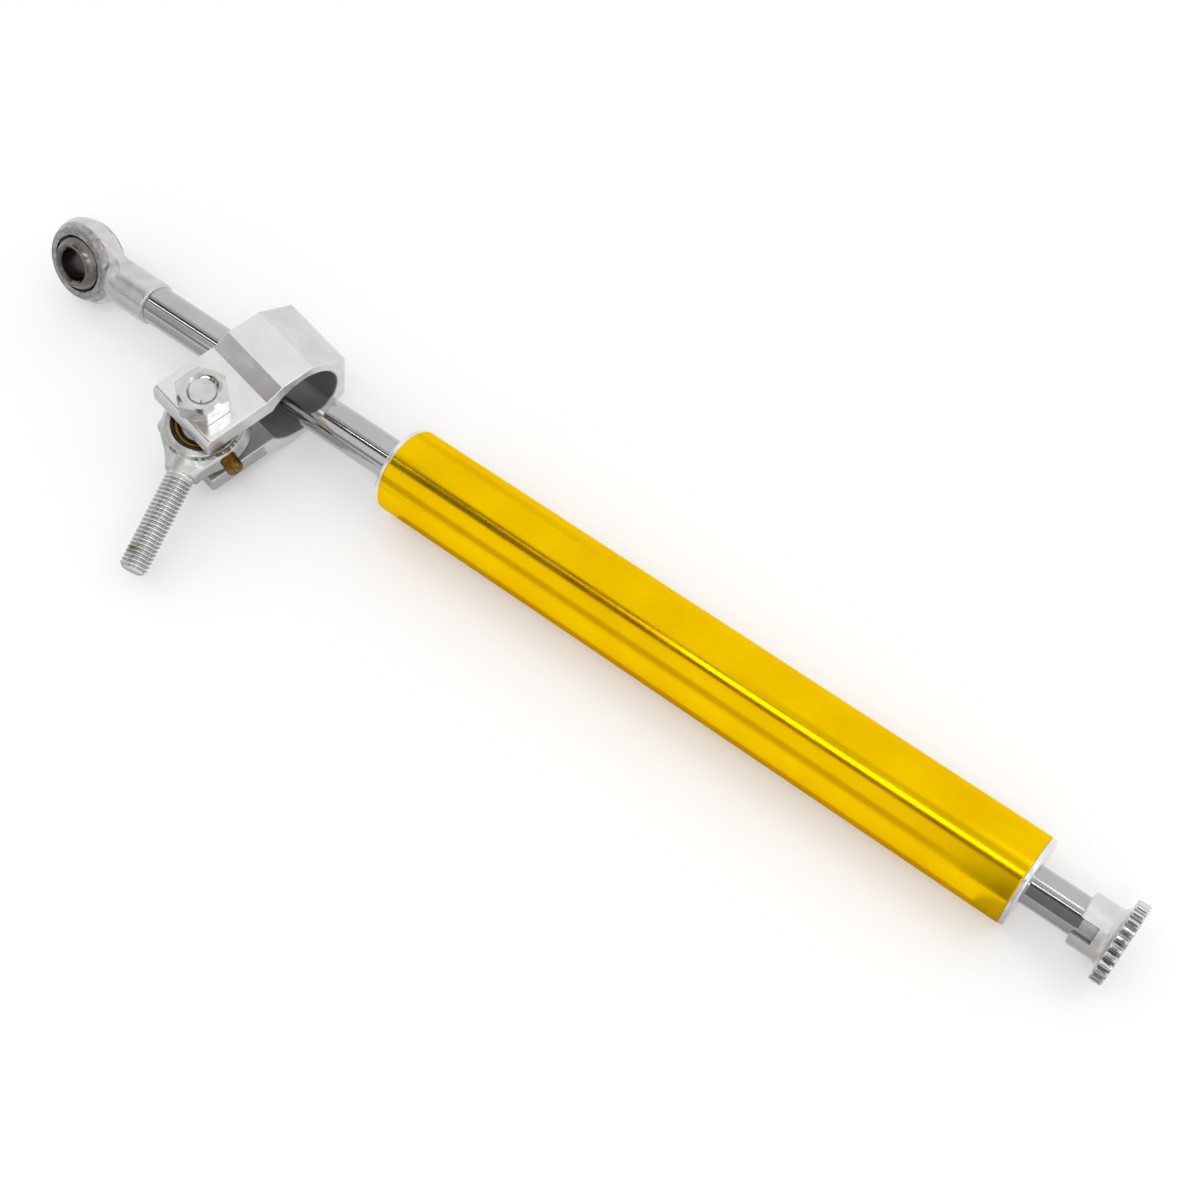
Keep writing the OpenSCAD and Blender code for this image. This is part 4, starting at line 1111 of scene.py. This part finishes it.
satin_zinc = new_finish("satin_zinc", SATIN, 200.0, (300.0, 0.24, 0.36), (fine_grain, 1500.0), 0.02)
tree = satin_zinc.node_tree
tear = stored(satin_zinc, "torn")
bump = fed(satin_zinc, "Normal").node
coarse = bump.inputs["Height"].links[0].from_socket
flecks = add_node(tree, "MapRange", From_Min=FLECK_FROM, From_Max=FLECK_TO, To_Min=FLECK_LEAST)
join(tree, (coarse, flecks.inputs["Value"]))
in_band = reckon(tree, "MULTIPLY", tear, flecks.outputs["Result"])
feed(satin_zinc, mix_colours(tree, in_band, fed(satin_zinc, "Base Color"), TORN_DARK), "Base Color")
# The grain's height is many times deeper in the torn band
deeper = reckon(tree, "MULTIPLY_ADD", tear, TORN_DEEPER, 1.0)
join(tree, (reckon(tree, "MULTIPLY", deeper, coarse), bump.inputs["Height"]))
dress(head, satin_zinc)
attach(head, "rod_end")
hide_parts("stud_eye_housing")


# Threaded stud
# The rod end's stud, rolled with a coarse thread from the neck to the tip and zinc plated with it.
# The thread fades out at the neck, and the tip is chamfered.
PITCH, THREAD_DEPTH, CREST_FLAT, THREAD_FADE = 1.25, 0.7, 0.72, 1.5
STUD_TIP, TIP_CHAMFER = 46.5, 1.0
STUD_ROWS, STUD_COLUMNS = 430, 72
THREAD = ((230, 232, 232), (212, 215, 214))
# Painted shade in the thread's roots
ROOT_SHADE = (182, 185, 186)
SPOT_BROWN = (104, 104, 52)
SPOT_AT, SPOT_REACH = np.array([41.2, -2.6, 3.0]), np.array([1.1, 2.2, 2.2])
stud_start = NECK_X + 2 * NECK_SWELL
stud_x = np.linspace(stud_start, STUD_TIP, STUD_ROWS)[:, None]
stud_turn = np.linspace(0, 2 * np.pi, STUD_COLUMNS, endpoint=False)[None]
# Each pitch is a raised cosine, flattened at the crest; its depth fades in over 1.5 pitches at the neck
phase = stud_x / PITCH - stud_turn / (2 * np.pi)
crest = np.clip(0.5 + CREST_FLAT * np.cos(2 * np.pi * phase), 0, 1)
fade = np.clip((stud_x - stud_start) / (THREAD_FADE * PITCH), 0, 1)
radius = BOLT_R - THREAD_DEPTH * (1 - crest) * fade
radius = np.minimum(radius, BOLT_R - TIP_CHAMFER + (STUD_TIP - stud_x))
rings = np.stack([stud_x + 0 * radius, radius * np.cos(stud_turn), radius * np.sin(stud_turn)], -1)
stud_points, stud_faces = closed_rings(rings, [[stud_start, 0, 0], [STUD_TIP, 0, 0]])
stud = put_mesh("threaded_stud", stud_points @ in_rod_end.T + bolt_centre, stud_faces, sharp=60)
# How deep in the thread a point lies, which paints shade in the thread's roots, and a spot of brown near the
# tip that fades as a bell curve
root = np.concatenate([((1 - crest) * fade).ravel(), [0, 0]])
spot = np.exp(-(((stud_points - SPOT_AT) / SPOT_REACH) ** 2).sum(1))
set_layer(stud, "root", root)
set_layer(stud, "spot", spot)
rolled_zinc = new_finish("rolled_thread_zinc", THREAD, 160.0, (300.0, 0.16, 0.28),
                         (fine_grain, 2600.0), 0.008)
# The thread's roots are painted darker as shade
tint_where(rolled_zinc, "root", ROOT_SHADE)
tint_where(rolled_zinc, "spot", SPOT_BROWN)
dress(stud, rolled_zinc)
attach(stud, "rod_end")
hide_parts("stud_eye_housing")


# Grease nipple
# Small turned brass nipple, gone brown, pushed into the head's rim. It has a plain round body, a
# chamfered end and a dimple where grease goes in.
NIPPLE_LENGTH, NIPPLE_BEVEL, DIMPLE_DEPTH = 4.6, 0.5, 0.5
NIPPLE = ((152, 112, 46), (98, 70, 28))
nipple_end = NIPPLE_FLAT + NIPPLE_LENGTH
nipple_outline = rounded([
    (STEM_END, 0, 0), (STEM_END, STEM_R, 0.2), (NIPPLE_FLAT, STEM_R, 0.08), (NIPPLE_FLAT, NIPPLE_R, 0.12),
    (nipple_end - NIPPLE_BEVEL, NIPPLE_R, 0.12), (nipple_end, NIPPLE_R - 0.45, 0.1), (nipple_end, 0.75, 0.08),
    (nipple_end - DIMPLE_DEPTH, 0.5, 0.1), (nipple_end - DIMPLE_DEPTH, 0, 0),
], closed=False)
nipple_points, nipple_faces = turned_solid(nipple_outline, 64)
in_nipple = in_rod_end @ turn_matrix(z=NIPPLE_TURN)
nipple = put_mesh("brass_nipple", nipple_points @ in_nipple.T + bolt_centre, nipple_faces, sharp=30)
brown_brass = new_finish("browned_nipple_brass", NIPPLE, 500.0, (500.0, 0.26, 0.42),
                         (fine_grain, 4000.0), 0.01)
dress(nipple, brown_brass)
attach(nipple, "rod_end")
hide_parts("grease_nipple")


# Studio
# A white table under a white tent. Dark and tinted boards and thin strip lights stand overhead, at the near
# side and low on the table, so that the polished bars show their lines. The cards lying on the table are
# painted
# shadow: seen only in reflections, they darken the table where the damper's shadow falls near it. None of it
# is part of the damper.
STRIP_HEIGHT, FLAG_HEIGHT, FLAG_EDGE, FLAG_FAR = 0.6, 0.61, -0.115, 0.04
BOARD_Y, BACK_Y, CARD_HEIGHT, UNDER_HEIGHT = -0.35, 0.6, -0.012, -0.0125
TABLE_HALF, TABLE_DROP, TABLE_GLOW = 4, 0.0001, 0.2
NEUTRAL = (1.0, 1.0, 1.0)
RED_BROWN = (1.0, 0.15, 0.0)
WARM_GREY = (1.0, 0.87, 0.6)
PALE_BROWN = (1.0, 0.6, 0.25)
SENSOR, LENS = 36, 54.68
CAMERA_AT = np.array([350.52, -199.75, 426.15])
CAMERA_RIGHT, CAMERA_UP = (0.7926, 0.610, 0.0), (-0.525, 0.682, 0.508)


def level(x0, x1, near0, near1, far=FLAG_EDGE, height=FLAG_HEIGHT):
    """Corners of a level board from x0 to x1 with a straight far edge; its near edge may slant."""
    return [(x0, far, height), (x1, far, height), (x1, near1, height), (x0, near0, height)]


def upright(x0, x1, low, high, y=BOARD_Y):
    """Corners of an upright board along X."""
    return [(x0, y, low), (x1, y, low), (x1, y, high), (x0, y, high)]


def board(name, corners, shade, tint):
    """A flat board between four corners in metres. It shows in reflections only, and casts no shadow."""
    mesh = bpy.data.meshes.new(name)
    mesh.from_pydata(corners, [], [(0, 1, 2, 3)])
    matt = bpy.data.materials.new(name + "_matt")
    matt.use_nodes = True
    sockets = matt.node_tree.nodes["Principled BSDF"].inputs
    sockets["Base Color"].default_value = (*(shade * np.array(tint)), 1)
    sockets["Roughness"].default_value = 1.0
    mesh.materials.append(matt)
    piece = bpy.data.objects.new(name, mesh)
    bpy.context.scene.collection.objects.link(piece)
    piece.visible_camera = piece.visible_shadow = piece.visible_diffuse = False


def strip_light(name, start, end, width, radiance):
    """A level strip light from one place to another, that shines down. Its power is radiance times pi times
    area."""
    start, end = np.array(start), np.array(end)
    along = end - start
    length = float(np.hypot(*along))
    data = bpy.data.lights.new(name, "AREA")
    data.shape = "RECTANGLE"
    data.size, data.size_y = length, width
    data.energy = radiance * math.pi * length * width
    lamp = bpy.data.objects.new(name, data)
    lamp.location = (*(start + end) / 2, STRIP_HEIGHT)
    lamp.rotation_euler = (0, 0, math.atan2(along[1], along[0]))
    lamp.visible_camera = False
    bpy.context.scene.collection.objects.link(lamp)


# The table is matt, with a little glow of its own where the camera or a polished face sees it
table_mesh = bpy.data.meshes.new("table")
table_z = cad_low.z - TABLE_DROP
table_corners = level(-TABLE_HALF, TABLE_HALF, TABLE_HALF, TABLE_HALF, -TABLE_HALF, table_z)
table_mesh.from_pydata(table_corners, [], [(0, 1, 2, 3)])
table = bpy.data.objects.new("table", table_mesh)
bpy.context.scene.collection.objects.link(table)
table_white = bpy.data.materials.new("white_table")
table_white.use_nodes = True
tree = table_white.node_tree
plain = tree.nodes["Principled BSDF"]
plain.inputs["Base Color"].default_value = (0.93, 0.93, 0.93, 1)
plain.inputs["Roughness"].default_value = 0.9
plain.inputs["Specular IOR Level"].default_value = 0.0
glow = add_node(tree, "Emission")
ray = add_node(tree, "LightPath").outputs
blend = add_node(tree, "MixShader")
seen = reckon(tree, "ADD", ray["Is Camera Ray"], ray["Is Glossy Ray"])
seen = reckon(tree, "ADD", seen, ray["Is Transmission Ray"])
seen.node.use_clamp = True
join(
    tree,
    (reckon(tree, "MULTIPLY", seen, TABLE_GLOW), blend.inputs["Fac"]),
    (plain.outputs["BSDF"], blend.inputs[1]),
    (glow.outputs["Emission"], blend.inputs[2]),
    (blend.outputs["Shader"], tree.nodes["Material Output"].inputs["Surface"]),
)
table.data.materials.append(table_white)

for name, corners, shade, tint in (
    ("front_flag", level(-0.62, -0.1, -0.44, -0.413), 0.1, NEUTRAL),
    ("warm_flag", level(-0.1, -0.04, -0.413, -0.41), 0.22, PALE_BROWN),
    ("far_flag", level(-0.62, -0.17, FLAG_EDGE, FLAG_EDGE, FLAG_FAR), 0.66, NEUTRAL),
    ("brown_flag", level(-0.04, 0.31, -0.41, -0.38), 0.12, RED_BROWN),
    ("tail_flag", level(0.31, 0.42, -0.38, -0.38), 0.1, NEUTRAL),
    ("rear_flag", level(0.13, 0.42, FLAG_EDGE, FLAG_EDGE, FLAG_FAR), 0.72, NEUTRAL),
    ("low_board", upright(-0.9, -0.04, 0.03, 0.14), 0.42, NEUTRAL),
    ("brown_board", upright(-0.04, 0.28, 0.03, 0.14), 0.64, WARM_GREY),
    ("near_board", upright(0.295, 0.40, 0.0, 0.6), 0.22, NEUTRAL),
    ("dim_board", upright(-0.9, -0.2, 0.14, 0.42), 0.6, NEUTRAL),
    ("back_card", upright(-0.18, -0.03, 0.02, 0.26, BACK_Y), 0.85, NEUTRAL),
    # Cards lying on the table, seen only in reflections: painted shadow of the damper, near the rods and
    # under the tube
    ("rear_shade_card", level(0.322, 0.48, -0.01, -0.01, -0.34, CARD_HEIGHT), 0.5, NEUTRAL),
    ("front_shade_card", [(-0.12, -0.16, CARD_HEIGHT), (0.08, -0.16, CARD_HEIGHT), (0.1, -0.015, CARD_HEIGHT),
                    (-0.12, -0.015, CARD_HEIGHT)], 0.62, NEUTRAL),
    ("tube_shadow_card", level(0.13, 0.33, -0.008, -0.008, -0.02, UNDER_HEIGHT), 0.64, WARM_GREY),
):
    board(name, corners, shade, tint)

for name, start, end, width, radiance in (
    ("strip_front", (-0.46, -0.313), (-0.30, -0.25), 0.02, 6.0),
    ("strip_gap", (-0.225, -0.2206), (-0.165, -0.197), 0.014, 8.0),
    ("strip_mid", (-0.10, -0.20), (0.05, -0.222), 0.015, 3.0),
    ("strip_rear", (0.05, -0.222), (0.305, -0.172), 0.085, 3.6),
    ("strip_tail", (0.303, -0.165), (0.36, -0.155), 0.03, 4.0),
    ("strip_far", (0.312, 0.14), (0.36, 0.14), 0.04, 3.0),
    ("side_box", (0.46, 0.17), (0.66, 0.17), 0.2, 2.2),
    ("key_box", (0.48, -0.36), (0.56, -0.36), 0.08, 14.0),
):
    strip_light(name, start, end, width, radiance)

world = bpy.data.worlds.new("white_tent")
bpy.context.scene.world = world
world.use_nodes = True
world.node_tree.nodes["Background"].inputs["Color"].default_value = (1, 1, 1, 1)
world.node_tree.nodes["Background"].inputs["Strength"].default_value = 1.0

# Camera: above and to the right of the damper's front, looking down its length
camera_data = bpy.data.cameras.new("camera")
camera_data.sensor_width = SENSOR
camera_data.lens = LENS
camera_data.clip_start, camera_data.clip_end = 0.01, 20
camera = bpy.data.objects.new("camera", camera_data)
bpy.context.scene.collection.objects.link(camera)
bpy.context.scene.camera = camera
right, up = np.array(CAMERA_RIGHT), np.array(CAMERA_UP)
right /= np.linalg.norm(right)
up -= right * (up @ right)
up /= np.linalg.norm(up)
stand = np.eye(4)
stand[:3, :3] = np.stack([right, up, np.cross(right, up)], 1)
stand[:3, 3] = CAMERA_AT * MM
camera.matrix_world = Matrix(stand.tolist())

bpy.context.scene.view_settings.view_transform = "Standard"
